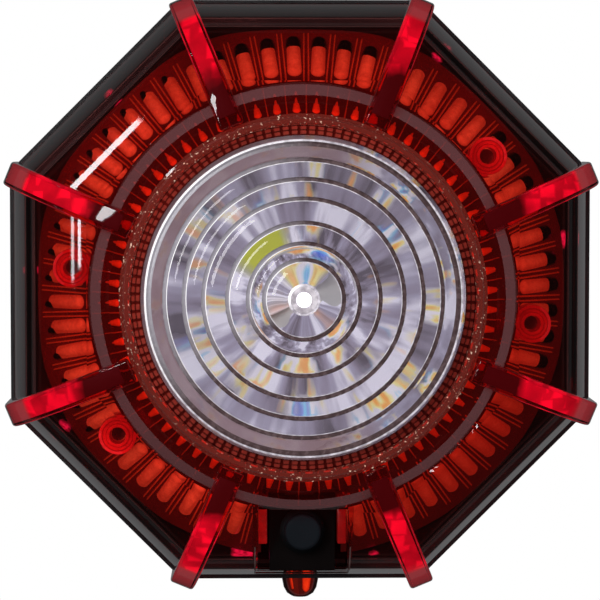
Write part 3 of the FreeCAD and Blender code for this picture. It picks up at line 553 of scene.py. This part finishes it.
for name, length, width, height, point, radius, start, material in (
        ("crest_drops", 5.0, 1.5, 0.5, 0.35, 34.0, RING_PHASE, ring_drop),
        ("crest_ridges", 7.0, 0.3, 0.42, 1.0, 33.2, RING_PHASE + FLUTE_PITCH / 2, ring_line)):
    drop = half_bar(name, length, width, height, point)
    on_face(drop, radius)
    round_the_axis(drop, FLUTES, start, FLUTE_PITCH)
    smooth(drop, 50)
    finish_piece(drop, material, "flute_red")

# ---------------------------------------------------------------------------
# Cover shell: one clear crimson polycarbonate moulding. Eight curved facets rise from upright walls to a
# round crown and a low collar round the lens.


def arc(start, end, radius, count):
    """Points of an arc that bulges away from the wall, after its start up to its end."""
    first, last = Vector(start), Vector(end)
    chord = last - first
    inward = Vector((-chord.y, chord.x)).normalized()
    centre = (first + last) / 2 + inward * math.sqrt(radius ** 2 - (chord.length / 2) ** 2)
    spoke = first - centre
    sweep = spoke.angle_signed(last - centre)
    return [tuple(centre + Matrix.Rotation(-sweep * step / count, 2) @ spoke) for step in range(1, count + 1)]


def bridge_depths(piece, *depths):
    """Joins the open loops that lie at some distances from the wall."""
    pick(piece, lambda place_at: any(abs(-place_at.y / mm - depth) < 1e-3 for depth in depths))
    bpy.ops.mesh.select_mode(type="EDGE")
    bpy.ops.mesh.bridge_edge_loops()
    bpy.ops.object.mode_set(mode="OBJECT")


def clear_moulding():
    """The faint haze of clear mouldings: a tone, a roughness and a height for mould marks."""
    group, inside, outside = new_group("clear_moulding", [("Roughness", "Float", 0.02)],
                                       [("Tone", "Float"), ("Roughness", "Float"), ("Height", "Float")])
    where = place(group)
    haze = noise(group, where, 60.0, 3.0)
    wire(group, spread(group, haze, 0.3, 0.7), (outside, "Tone"))
    wear = spread(group, haze, 0.3, 0.75, 0.0, 0.03)
    wire(group, math_node(group, "ADD", (inside, "Roughness"), wear), (outside, "Roughness"))
    wire(group, noise(group, where, 500.0, 3.0), (outside, "Height"))
    return group


clear_group = clear_moulding()


def clear_plastic(name, tint, shade, roughness=0.02, index=1.45, coat=0.0, marks=0.0):
    """Clear coloured plastic. Lamps shine through it in its own colour, so what lies under it is lit."""
    material, tree, shader = new_material(name)
    haze = grouped(tree, clear_group, Roughness=roughness)
    colour = mixed(tree, (haze, "Tone"), tint, tuple(part * 0.9 for part in tint))
    wire(tree, colour, (shader, "Base Color"))
    wire(tree, (haze, "Roughness"), (shader, "Roughness"))
    shader.inputs["Transmission Weight"].default_value = 1.0
    shader.inputs["IOR"].default_value = index
    shader.inputs["Coat Weight"].default_value = coat
    shader.inputs["Coat IOR"].default_value = 1.5
    if marks:
        bumped(tree, shader, (haze, "Height"), marks)
    path = tree.nodes.new("ShaderNodeLightPath")
    through = tree.nodes.new("ShaderNodeBsdfTransparent")
    through.inputs["Color"].default_value = (*shade, 1)
    mix = tree.nodes.new("ShaderNodeMixShader")
    wire(tree, (path, "Is Shadow Ray"), (mix, 0))
    wire(tree, (shader, "BSDF"), (mix, 1))
    wire(tree, (through, "BSDF"), (mix, 2))
    wire(tree, (mix, 0), (tree.nodes["Material Output"], "Surface"))
    return material


crimson = clear_plastic("crimson_polycarbonate", (0.90, 0.25, 0.23), (0.95, 0.45, 0.45), 0.015, 1.12, 1.0)
outer_wall = ([(54.8, 12.6), (51.4, 25.6)] + arc((51.4, 25.6), (49.0, 29.4), 7.4, 5)
              + arc((49.0, 29.4), (39.3, 36.2), 64.0, 8))
crown = [(39.2, 36.0), (38.6, 36.67), (36.6, 38.9), (33.3, 38.95), (32.8, 39.3), (32.6, 40.3),
         (32.3, 40.6), (31.6, 40.6), (31.3, 40.3), (31.2, 38.7), (29.4, 38.5), (29.3, 36.9), (35.2, 36.7),
         (37.7, 34.2)]
inner_wall = (list(reversed(arc((49.3, 25.0), (47.3, 27.8), 5.2, 5) + arc((47.3, 27.8), (38.0, 34.1), 62.0, 8)))
              + [(49.3, 25.0), (52.6, 12.6)])
shell = join("cover_shell", [turned_strip("cover_shell", outer_wall, 8, 15),
                             turned_strip("crown", crown, 128),
                             turned_strip("inner_wall", inner_wall, 8, 15)])
bridge_depths(shell, 36.2, 36.0)
bridge_depths(shell, 34.2, 34.1)
bridge_depths(shell, 12.6)
seal_up(shell)

# The lower facet opens into a box-shaped well round the push switch, moulded with the shell.
POCKET_HALF, POCKET_TOP, POCKET_LOW, POCKET_FLOOR = 8.3, -38.7, -52.2, 22.0
well = box_between("well", (-POCKET_HALF, -45, POCKET_LOW), (POCKET_HALF, -POCKET_FLOOR, POCKET_TOP))
cut(shell, well)
smooth(shell, 28)
# The crown's cone band gets a half-clear mauve finish: a painted reflection of the bright surroundings.
crown_painted_reflection = clear_plastic("crown_painted_mauve_reflection", (0.35, 0.12, 0.13), (0.9, 0.5, 0.5), 0.15, 1.12, 1.0)
crown_painted_reflection.node_tree.nodes["Principled BSDF"].inputs["Transmission Weight"].default_value = 0.6
lip_red = clear_plastic("lip_polycarbonate", (0.55, 0.09, 0.065), (0.95, 0.45, 0.45), 0.05, 1.35, 0.6, 0.00005)
tree = lip_red.node_tree
shader = tree.nodes["Principled BSDF"]
shader.inputs["Transmission Weight"].default_value = 0.8
# Painted glints: sparkles on the lip glow, stronger toward the upper left and the lower right.
split = axes(tree, place(tree))
diagonal = math_node(tree, "ABSOLUTE", math_node(tree, "SUBTRACT", (split, "Z"), (split, "X")))
sparkle = math_node(tree, "MULTIPLY", spread(tree, noise(tree, place(tree), 1500.0, 2.0, 0.7), 0.63, 0.70),
                    spread(tree, diagonal, 0.012, 0.040, 0.15, 1.0))
glowing(tree, shader, mixed(tree, sparkle, (0.02, 0.002, 0.001), (0.95, 0.72, 0.55)), 0.9, base=False)
finish_piece(shell, [crimson, crown_painted_reflection, lip_red], "red_cover", "front_cover")
# The crown's cone band takes the painted reflection; the collar's top takes the lip finish with its painted glints.
for polygon in shell.data.polygons:
    distance = math.hypot(polygon.center.x, polygon.center.z) / mm
    depth = -polygon.center.y / mm
    if 36.7 < distance < 38.4 and 36.7 < depth < 38.8:
        polygon.material_index = 1
    elif distance < 33.2 and depth > 38.96:
        polygon.material_index = 2


def hull_of(name, growth):
    """A solid octagon with the cover's outer shape, grown by some mm."""
    solid = turned_strip(name, [(0.02, 12.6)] + [(a + growth, z + growth) for a, z in outer_wall]
                         + [(0.02, 36.2 + growth)], 8, close=True)
    seal_up(solid)
    return solid


pocket = box_between("pocket_walls", (-POCKET_HALF - 0.9, -37, POCKET_LOW - 0.5), (POCKET_HALF + 0.9, -22, -37.8))
cut(pocket, box_between("hollow", (-POCKET_HALF, -40, POCKET_LOW + 0.6), (POCKET_HALF, -20, POCKET_TOP)))
cut(pocket, hull_of("hull", 0.0), "INTERSECT")
soften(pocket, 0.25)
smooth(pocket, 30)
finish_piece(pocket, crimson, "red_cover")

# A thin mauve band along the pocket's lower edge: a painted highlight on the rim.
rim = box_between("pocket_rim", (-POCKET_HALF - 0.62, -40, POCKET_LOW - 1.2), (POCKET_HALF + 0.62, -16, -46.3))
cut(rim, box_between("inside", (-POCKET_HALF - 0.38, -41, POCKET_LOW - 0.95), (POCKET_HALF + 0.38, -15, -42.0)))
cut(rim, hull_of("outer", 0.10), "INTERSECT")
cut(rim, hull_of("inner", -0.25))
smooth(rim, 30)
finish_piece(rim, moulded("rim_painted_highlight", (0.09, 0.05, 0.048), (0.19, 0.125, 0.12), 900.0, 0.3), "red_cover")
# The two red webs beside the pocket glow with painted light.
web_red = ring_plastic("pocket_web_red", (0.06, 0.002, 0.002), (0.42, 0.006, 0.006), 0.5, 0.036, 0.038)
for side, number in ((-1, 1), (1, 2)):
    web = box_between(f"pocket_web_{number}", (min(side * 6.5, side * 8.2), -27.5, -46.4),
                      (max(side * 6.5, side * 8.2), -22.5, -38.9))
    soften(web, 0.3)
    smooth(web, 30)
    finish_piece(web, web_red, "red_cover")

# ---------------------------------------------------------------------------
# Ribs: eight hollow fins of the same moulding stand on the corners. Inside each lies a glowing insert of
# painted light: bright crimson over the outer half, painted shade almost black toward the lens.


def plate(name, outline, width):
    """A flat plate of an outline of (radius, distance from the wall), centred on the plane of +X."""
    clear_selection()
    bpy.ops.mesh.primitive_plane_add(size=0.001)
    piece = bpy.context.object
    piece.name = name
    bpy.ops.object.mode_set(mode="EDIT")
    bpy.ops.mesh.select_mode(type="VERT")
    bpy.ops.mesh.select_all(action="SELECT")
    bpy.ops.mesh.merge(type="CENTER")
    here = Vector((outline[0][0], -outline[0][1], -width / 2)) * mm
    bpy.ops.transform.translate(value=here)
    for radius, depth in outline[1:]:
        there = Vector((radius, -depth, -width / 2)) * mm
        bpy.ops.mesh.extrude_region_move(TRANSFORM_OT_translate={"value": there - here})
        here = there
    bpy.ops.mesh.select_all(action="SELECT")
    bpy.ops.mesh.edge_face_add()
    bpy.ops.mesh.extrude_region_move(TRANSFORM_OT_translate={"value": (0, 0, width * mm)})
    bpy.ops.object.mode_set(mode="OBJECT")
    seal_up(piece)
    return piece


RIB_COUNT = 8
RIB_PITCH = 360 / RIB_COUNT
rib_top = ([(59.5, 13.0), (59.3, 22.5)] + arc((59.3, 22.5), (56.3, 30.2), 11.4, 6)
           + arc((56.3, 30.2), (42.0, 39.6), 40.0, 8) + arc((42.0, 39.6), (37.6, 40.75), 25.0, 4) + [(33.5, 41.65)])
RIB_WIDTH = 4.6
ribs = plate("cover_ribs", rib_top + [(33.4, 38.5), (36.4, 38.4), (38.6, 36.0), (42.0, 35.6), (52.4, 29.0),
                                      (55.0, 25.2), (58.4, 13.0)], RIB_WIDTH)
soften(ribs, 0.75, 3)
round_the_axis(ribs, RIB_COUNT, RIB_PITCH / 2, RIB_PITCH)
smooth(ribs, 35)
rib_glass = clear_plastic("rib_polycarbonate", (0.85, 0.10, 0.14), (0.95, 0.45, 0.45), 0.02, 1.25, 1.0, 0.00002)
finish_piece(ribs, rib_glass, "red_cover")

core = plate("rib_painted_light_inserts", arc((58.2, 22.5), (55.2, 29.6), 11.0, 5) + arc((55.2, 29.6), (42.0, 38.2), 40.0, 8)
             + [(35.5, 39.6), (35.5, 39.0), (42.0, 36.4), (52.6, 29.6), (55.6, 25.4), (57.4, 22.5)], 3.1)
soften(core, 0.2)
round_the_axis(core, RIB_COUNT, RIB_PITCH / 2, RIB_PITCH)
smooth(core, 35)
rib_glow_finish, tree, shader = new_material("rib_painted_glow_crimson")
radius = grouped(tree, polar_group), "Radius"
where = place(tree)
cells = tree.nodes.new("ShaderNodeTexVoronoi")
cells.distance = "CHEBYCHEV"
cells.inputs["Scale"].default_value = 260.0
wire(tree, where, (cells, "Vector"))
steps = spread(tree, (cells, "Distance"), 0.30, 0.42, 1.0, 0.5)
clouds = spread(tree, noise(tree, where, 140.0, 3.0), 0.35, 0.65, 0.55, 1.1)
# Painted light: bright over the outer half, painted shade toward the lens.
outer_part = spread(tree, math_node(tree, "MULTIPLY_ADD", noise(tree, where, 90.0), 0.008, radius), 0.0462, 0.0486)
light_in = math_node(tree, "MULTIPLY", math_node(tree, "MULTIPLY", steps, clouds), outer_part, clamp=True)
colour = mixed(tree, light_in, (0.040, 0.001, 0.003), (1.0, 0.007, 0.065))
for web_at in (0.0533, 0.0476):
    off_web = math_node(tree, "ABSOLUTE", math_node(tree, "SUBTRACT", radius, web_at))
    light_in = math_node(tree, "MULTIPLY", light_in, spread(tree, off_web, 0.00018, 0.00038, 0.25, 1.0))
# The outer end is mauve grey: a painted reflection.
painted_cap_reflection = spread(tree, radius, 0.0543, 0.0550)
glowing(tree, shader, mixed(tree, painted_cap_reflection, colour, (0.26, 0.075, 0.080)), 0.75)
finish_piece(core, rib_glow_finish, "red_cover")

# ---------------------------------------------------------------------------
# Screw bosses: four red posts moulded with the cover under its facets. Each is a bright tube seen from its
# end, its brightness a painted glow, with the cover screw standing inside.

BOSS_ANGLES = (37, -7, 217, 173)
BOSS_CIRCLE = 42.5
boss_red = ring_plastic("boss_bright_red", (0.20, 0.004, 0.006), (0.75, 0.03, 0.04), 0.45, 0.038, 0.044)
for number, angle_at in enumerate(BOSS_ANGLES, 1):
    boss = lathe(f"cover_boss_{number}", [(3.5, 13.0), (3.5, 30.6), (2.9, 30.6), (2.8, 29.6), (2.2, 29.4),
                                          (2.1, 30.2), (1.5, 30.2), (1.5, 13.0)], 32)
    spot = Vector((math.cos(math.radians(angle_at)), 0, math.sin(math.radians(angle_at)))) * BOSS_CIRCLE * mm
    settle(boss, Matrix.Translation(spot))
    soften(boss, 0.15)
    smooth(boss, 40)
    finish_piece(boss, boss_red, "red_cover")

# ---------------------------------------------------------------------------
# Collar knurl: two rows of small moulded cells under the cover's collar, which key the lens to the cover.
# Seen through the clear collar they look orange brown against a darker band; both glow a little with painted light.

CELLS = 120
knurl = lathe("collar_band", [(29.5, 36.9), (31.1, 36.9), (31.1, 37.3), (29.5, 37.3)])
cell_rows = []
for row, (inner, outer, depth) in enumerate(((29.6, 30.3, 38.2), (30.45, 31.1, 38.3))):
    cell = box_between(f"cells_{row}", (inner, -depth, -0.55), (outer, -37.2, 0.55))
    soften(cell, 0.12, 1)
    round_the_axis(cell, CELLS, 0, 360 / CELLS)
    cell_rows.append(cell)
collar_dark = ring_plastic("collar_dark", (0.03, 0.004, 0.003), (0.10, 0.015, 0.010), 0.2, 0.028, 0.03)
finish_piece(knurl, collar_dark, "red_cover")
cells = join("collar_cells", cell_rows)
smooth(cells, 30)
knurl_brown = ring_plastic("collar_orange_brown", (0.09, 0.020, 0.015), (0.29, 0.10, 0.07), 0.25, 0.028, 0.0296)
finish_piece(cells, knurl_brown, "red_cover")

# ---------------------------------------------------------------------------
# Lens: a thick clear polycarbonate disc with a rim and seven curved zones, each stepped down into a groove
# whose wall carries painted shade, with a painted highlight on the edge beside it, both paler toward the upper left.

GROOVES = (6.8, 9.7, 13.4, 17.7, 21.2, 24.7)
GROOVE_WIDTH = 0.72
lens_outline = [(28.7, 34.4), (31.2, 34.4), (31.2, 36.2), (28.7, 36.2), (28.7, 41.1), (28.6, 41.4),
                (28.3, 41.5), (28.15, 41.4), (27.9, 41.05), (27.4, 41.2), (25.7, 41.3)]
level = 41.1
for number in range(len(GROOVES) - 1, -1, -1):
    groove = GROOVES[number]
    inside_edge = (GROOVES[number - 1] + GROOVE_WIDTH if number else 2.9)
    lens_outline += [(groove + GROOVE_WIDTH, level - 0.05), (groove + GROOVE_WIDTH - 0.05, level - 0.55),
                     (groove + 0.05, level - 0.55), (groove, level - 0.1)]
    rise = 0.75 if number else 0.9
    for step in range(1, 11):
        share = step / 10
        lens_outline.append((groove + (inside_edge - groove) * share,
                             level - 0.1 + rise * (1 - (1 - share) ** 1.9)))
        if step == 1:
            lens_outline.insert(-1, (groove - 0.14, level - 0.04))
    level += rise - 0.3
lens_outline += [(2.85, level - 0.2), (2.5, level - 0.25), (2.4, level + 0.1), (1.5, level + 0.25),
                 (0.02, level + 0.3), (0.02, 34.4)]
lens = lathe("lens_body", lens_outline, 192)
smooth(lens, 35)
clear = clear_plastic("clear_polycarbonate", (0.96, 0.94, 0.97), (0.97, 0.96, 0.97), 0.01, 1.42)


def lens_edge(name, dark, light, glow, lit=None):
    """Painted shade for the wall of a groove, or a painted highlight for its edge: broken by fine radial marks,
    paler on its lit side, and glowing a little.
    """
    material, tree, shader = new_material(name)
    marks = noise(tree, place(tree), 900.0, 4.0)
    colour = mixed(tree, spread(tree, marks, 0.35, 0.65), dark, light)
    if lit:
        angle = grouped(tree, polar_group), "Angle"
        lean = math_node(tree, "COSINE", math_node(tree, "SUBTRACT", angle, math.radians(155)))
        colour = mixed(tree, spread(tree, lean, 0.35, 0.95), colour, lit)
    glowing(tree, shader, colour, glow)
    wire(tree, spread(tree, marks, 0.3, 0.7, 0.15, 0.35), (shader, "Roughness"))
    return material


groove_painted_shade = lens_edge("lens_groove_wall", (0.060, 0.038, 0.040), (0.105, 0.068, 0.072), 0.25, (0.36, 0.34, 0.38))
groove_painted_highlight = lens_edge("lens_groove_edge", (0.30, 0.27, 0.31), (0.66, 0.62, 0.68), 0.4, (1.0, 0.98, 1.0))
hub_frost = lens_edge("lens_hub_frost", (0.34, 0.30, 0.34), (0.66, 0.61, 0.66), 0.3)
finish_piece(lens, [clear, groove_painted_shade, groove_painted_highlight, hub_frost], "clear_lens", "strobe_lens")
# Groove walls and the rim's outer band take the painted shade; groove edges, the rim's top and the hub's edge the
# painted highlight; the hub the frosted finish, which glows with painted light.
for polygon in lens.data.polygons:
    middle = polygon.center
    distance = math.hypot(middle.x, middle.z) / mm
    if -middle.y / mm < 40.2:
        continue
    for groove in GROOVES:
        if groove + 0.02 < distance < groove + GROOVE_WIDTH:
            polygon.material_index = 1
        elif groove - 0.16 < distance < groove + 0.02:
            polygon.material_index = 2
    if distance > 28.4 or 2.4 < distance < 2.75:
        polygon.material_index = 2
    elif distance > 27.5:
        polygon.material_index = 1
    elif 1.4 < distance < 2.4:
        polygon.material_index = 3

# The gate mark is frosted, and glows with painted light.
gate = lathe("lens_gate_mark", [(1.42, level + 0.1), (1.42, level + 0.42), (1.0, level + 0.5), (0.5, level + 0.5),
                                (0.4, level + 0.42), (0.02, level + 0.42), (0.02, level + 0.1)], 48)
smooth(gate, 30)
finish_piece(gate, lens_edge("frosted_gate", (0.80, 0.76, 0.82), (1.0, 0.98, 1.0), 0.9), "clear_lens")

# ---------------------------------------------------------------------------
# Reflector: a deep metallised bowl. What it shows through the lens is painted on it and glows a little: lavender
# silver in radial streaks of painted reflection, painted spectral patches from the lens, a painted yellow-green
# arc reflecting the lamp, and a painted mauve reflection on the left of the brim.

bowl = [(3.7 + (28.2 - 3.7) * (step / 16) ** 0.5, 17.0 + 17.4 * step / 16) for step in range(17)]
reflector = lathe("reflector_bowl", bowl + [(30.4, 34.3), (30.4, 33.6)]
                  + [(r + 0.9, z - 0.6) for r, z in reversed(bowl[1:-1])] + [(4.6, 16.8)])
smooth(reflector, 30)


def ramped(tree, value, stops):
    """A colour ramp through stops given as (position, RGB)."""
    ramp = tree.nodes.new("ShaderNodeValToRGB")
    elements = ramp.color_ramp.elements
    for position, tint in stops:
        elements.new(position).color = (*tint, 1)
    elements.remove(elements[0])
    elements.remove(elements[-1])
    wire(tree, value, (ramp, 0))
    return ramp, 0


silver, tree, shader = new_material("vacuum_metallised")
polar = grouped(tree, polar_group)
radius, angle = (polar, "Radius"), (polar, "Angle")
where = place(tree)
flat = tree.nodes.new("ShaderNodeVectorMath")
flat.operation = "MULTIPLY"
flat.inputs[1].default_value = (1, 0, 1)
wire(tree, where, (flat, 0))
spoke = tree.nodes.new("ShaderNodeVectorMath")
spoke.operation = "NORMALIZE"
wire(tree, (flat, 0), (spoke, 0))
reach_out = tree.nodes.new("ShaderNodeCombineXYZ")
wire(tree, math_node(tree, "MULTIPLY", radius, 55.0), (reach_out, "Y"))
streak_at = tree.nodes.new("ShaderNodeVectorMath")
streak_at.operation = "ADD"
wire(tree, (spoke, 0), (streak_at, 0))
wire(tree, (reach_out, 0), (streak_at, 1))
broad = noise(tree, (streak_at, 0), 3.0, 3.0)
fine = noise(tree, (streak_at, 0), 11.0, 3.0)
fine_share = spread(tree, radius, 0.008, 0.014, 0.5, 0.12)
fine_part = math_node(tree, "MULTIPLY", math_node(tree, "SUBTRACT", fine, 0.5), fine_share)
# Painted reflection: radial streaks from dark grey to lavender white.
painted_reflection_streaks = math_node(tree, "ADD", broad, fine_part)
tone = ramped(tree, painted_reflection_streaks, ((0.35, (0.15, 0.13, 0.16)), (0.43, (0.31, 0.28, 0.36)), (0.53, (0.42, 0.40, 0.52)),
                              (0.62, (0.84, 0.84, 0.95))))
hue = ramped(tree, noise(tree, where, 380.0, 2.0), (
    (0.36, (0.10, 0.22, 0.85)), (0.43, (0.25, 0.68, 0.95)), (0.48, (0.90, 0.90, 0.95)),
    (0.54, (0.88, 0.86, 0.92)), (0.59, (0.92, 0.84, 0.36)), (0.66, (0.95, 0.45, 0.12))))
right = axes(tree, where)
# Painted spectral patches, stronger toward the right.
painted_spectral_patches = math_node(tree, "MULTIPLY", spread(tree, noise(tree, where, 190.0, 3.0), 0.53, 0.63),
                    spread(tree, (right, "X"), -0.02, 0.012, 0.6, 1.0))
surface = mixed(tree, painted_spectral_patches, tone, hue)
# Painted reflection of the lamp: a yellow-green arc on the upper left.
arc_radius = math_node(tree, "MULTIPLY", spread(tree, radius, 0.0066, 0.0074), spread(tree, radius, 0.0116, 0.0108))
arc_turn = math_node(tree, "MULTIPLY", spread(tree, angle, 1.75, 1.95), spread(tree, angle, 2.9, 2.6))
painted_lamp_arc = math_node(tree, "MULTIPLY", arc_radius, arc_turn)
surface = mixed(tree, painted_lamp_arc, surface, (0.52, 0.56, 0.08))
# Painted mauve reflection on the left of the brim.
painted_brim_reflection = math_node(tree, "MULTIPLY", spread(tree, radius, 0.0242, 0.0256), spread(tree, (right, "X"), 0.016, 0.006))
surface = mixed(tree, math_node(tree, "MULTIPLY", painted_brim_reflection, 0.85), surface, (0.36, 0.24, 0.25))
# The whole finish glows a little: painted light.
glowing(tree, shader, surface, 0.22)
wire(tree, spread(tree, broad, 0.3, 0.7, 0.25, 0.4), (shader, "Roughness"))
finish_piece(reflector, silver, "bright_reflector", "reflector")

# ---------------------------------------------------------------------------
# Light source: the strobe LED's cup in the middle of the bowl has the bowl's own metallised finish, painted
# reflections and glow included, so the two read as one surface through the lens.

dress("strobe_led", silver)

# ---------------------------------------------------------------------------
# Push switch: a half-gloss black moulded housing at the bottom of the pocket, and a soft round cap of dark
# slate rubber with a fine matt grain, darkened toward its edge by painted shade.

switch_black = moulded("switch_black", (0.002, 0.0015, 0.0015), (0.005, 0.003, 0.003), 1500.0, 0.35)
dress("push_switch_body", switch_black)
cap_rubber = moulded("cap_rubber", (0.0050, 0.0065, 0.0090), (0.0105, 0.0135, 0.0180), 2600.0, 0.7, 0.00004)
tree = cap_rubber.node_tree
shader = tree.nodes["Principled BSDF"]
slate = shader.inputs["Base Color"].links[0].from_node
# Painted shade: the cap darkens to near black toward its edge.
cap_painted_edge_shade = spread(tree, distance_from(tree, (0, -31, -43.7)), 0.0030, 0.0044)
wire(tree, mixed(tree, cap_painted_edge_shade, (slate, 2), (0.001, 0.0011, 0.0014)), (shader, "Base Color"))
for material in (switch_black, cap_rubber):
    material.node_tree.nodes["Principled BSDF"].inputs["Specular IOR Level"].default_value = 0.25
dress("button_cap", cap_rubber)

# ---------------------------------------------------------------------------
# Nose: a small solid light pipe of clear red plastic that stands out of the bottom flat. The indicator
# behind it shows as two orange streaks down its length: glowing bars of painted light.

nose = lathe("nose_light_pipe", [(0.02, 50.4), (3.55, 50.4), (3.6, 54.2), (3.5, 56.2), (3.2, 57.7), (2.6, 58.8),
                                 (1.6, 59.45), (0.02, 59.55)], 48)
settle(nose, Matrix.Translation((0, -8 * mm, 0)) @ Matrix.Rotation(math.pi / 2, 4, "X"))
smooth(nose, 30)
nose_red = clear_plastic("nose_polycarbonate", (0.50, 0.03, 0.02), (0.95, 0.5, 0.4), 0.02, 1.3, 1.0)
finish_piece(nose, nose_red, "nose_red", "indicator_nose")
streaks_of_light = []
# The two streaks are painted light: glowing orange bars inside the pipe.
for length, width, across, lean in ((7.6, 1.9, 1.3, 94), (6.6, 0.6, -2.1, 81)):
    streak = half_bar("nose_streak", length, width, 0.7, 0.6)
    settle(streak, Matrix.Translation(Vector((across, -8.2, -51.6)) * mm)
           @ Matrix.Rotation(math.radians(lean), 4, "Y"))
    streaks_of_light.append(streak)
nose_glow = join("nose_glow", streaks_of_light)
smooth(nose_glow, 50)
nose_orange = ring_plastic("nose_orange", (0.30, 0.02, 0.005), (1.0, 0.20, 0.04), 1.5, 0.02, 0.03)
finish_piece(nose_glow, nose_orange, "nose_red")

# ---------------------------------------------------------------------------
# Studio: pale floor below, bright surroundings behind and beside the object, a dim room in front of it, a
# soft lamp and two small windows at the upper left, and soft fill that leaves no reflection.

clear_selection()
bpy.ops.mesh.primitive_plane_add(size=4, location=(0, 0, -0.45))
floor = bpy.context.object
floor.name = "studio_floor"
pale_floor = moulded("pale_floor", (0.74, 0.73, 0.71), (0.80, 0.79, 0.78), 30.0, 0.7)
shader = pale_floor.node_tree.nodes["Principled BSDF"]
shader.inputs["Emission Color"].default_value = (0.78, 0.77, 0.76, 1)
shader.inputs["Emission Strength"].default_value = 0.7
floor.data.materials.append(pale_floor)
floor.visible_diffuse = False
floor.visible_glossy = False
floor.visible_transmission = False

world = bpy.data.worlds.new("studio")
bpy.context.scene.world = world
world.use_nodes = True
sky = world.node_tree
sky.nodes.clear()
direction = sky.nodes.new("ShaderNodeTexCoord"), "Generated"
backward = spread(sky, (axes(sky, direction), "Y"), -1.0, 1.0)
stops = ((0.001, 0.015), (0.50, 0.015), (0.545, 0.12), (0.63, 0.12), (0.67, 0.016), (0.93, 0.016), (0.96, 0.15),
         (0.999, 0.15))
brightness = ramped(sky, backward, [(position, (level, level, level * 1.02)) for position, level in stops])
surround = sky.nodes.new("ShaderNodeBackground")
wire(sky, brightness, (surround, "Color"))
seen = sky.nodes.new("ShaderNodeBackground")
seen.inputs["Color"].default_value = (1, 1, 1, 1)
eye = sky.nodes.new("ShaderNodeLightPath")
choice = sky.nodes.new("ShaderNodeMixShader")
wire(sky, (eye, "Is Camera Ray"), (choice, 0))
wire(sky, (surround, 0), (choice, 1))
wire(sky, (seen, 0), (choice, 2))
goal = sky.nodes.new("ShaderNodeOutputWorld")
wire(sky, (choice, 0), (goal, "Surface"))


def toward(off_axis, azimuth, distance):
    """A place at an angle off the lens axis and an azimuth round it, anticlockwise from the right."""
    off, turn = math.radians(off_axis), math.radians(azimuth)
    return Vector((math.sin(off) * math.cos(turn), -math.cos(off), math.sin(off) * math.sin(turn))) * distance


def lamp(name, place_at, size, power, shows=True):
    """A rectangular soft lamp aimed at the object. Its second size runs round the lens axis. One that doesn't
    show leaves no reflection."""
    data = bpy.data.lights.new(name, "AREA")
    data.shape = "RECTANGLE"
    data.size, data.size_y = size
    data.energy = power
    light = bpy.data.objects.new(name, data)
    bpy.context.scene.collection.objects.link(light)
    back = Vector(place_at).normalized()
    round_axis = Vector((0, -1, 0)).cross(back).normalized()
    light.matrix_world = Matrix.Translation(place_at) @ Matrix(
        (round_axis.cross(back), round_axis, back)).transposed().to_4x4()
    light.visible_glossy = shows
    light.visible_transmission = False
    light.visible_camera = False


lamp("upper_left_softbox", toward(30, 150, 0.7), (0.07, 0.34), 0.8)
lamp("left_window", toward(65, 180, 0.74), (0.012, 0.045), 0.026)
lamp("left_window_pane", toward(67.6, 180.5, 0.74), (0.016, 0.045), 0.024)
lamp("upper_window", toward(70, 137.8, 0.74), (0.03, 0.045), 0.07)
lamp("front_fill", toward(20, 120, 0.9), (0.5, 0.5), 4.5, shows=False)
lamp("right_fill", toward(50, -20, 0.9), (0.5, 0.5), 2.5, shows=False)
lamp("back_fill", (0.3, 0.9, 0.4), (0.6, 0.6), 8.0, shows=False)

camera_data = bpy.data.cameras.new("camera")
camera = bpy.data.objects.new("camera", camera_data)
bpy.context.scene.collection.objects.link(camera)
camera.location = (-0.0094, -0.480, 0.0237)
camera.rotation_euler = (Vector((0.00014, 0, -0.0024)) - camera.location).to_track_quat("-Z", "Y").to_euler()
camera_data.sensor_width = 36
camera_data.lens = 36 * 480 / 117.6
camera_data.clip_start = 0.01
bpy.context.scene.camera = camera
bpy.context.scene.view_settings.view_transform = "Standard"
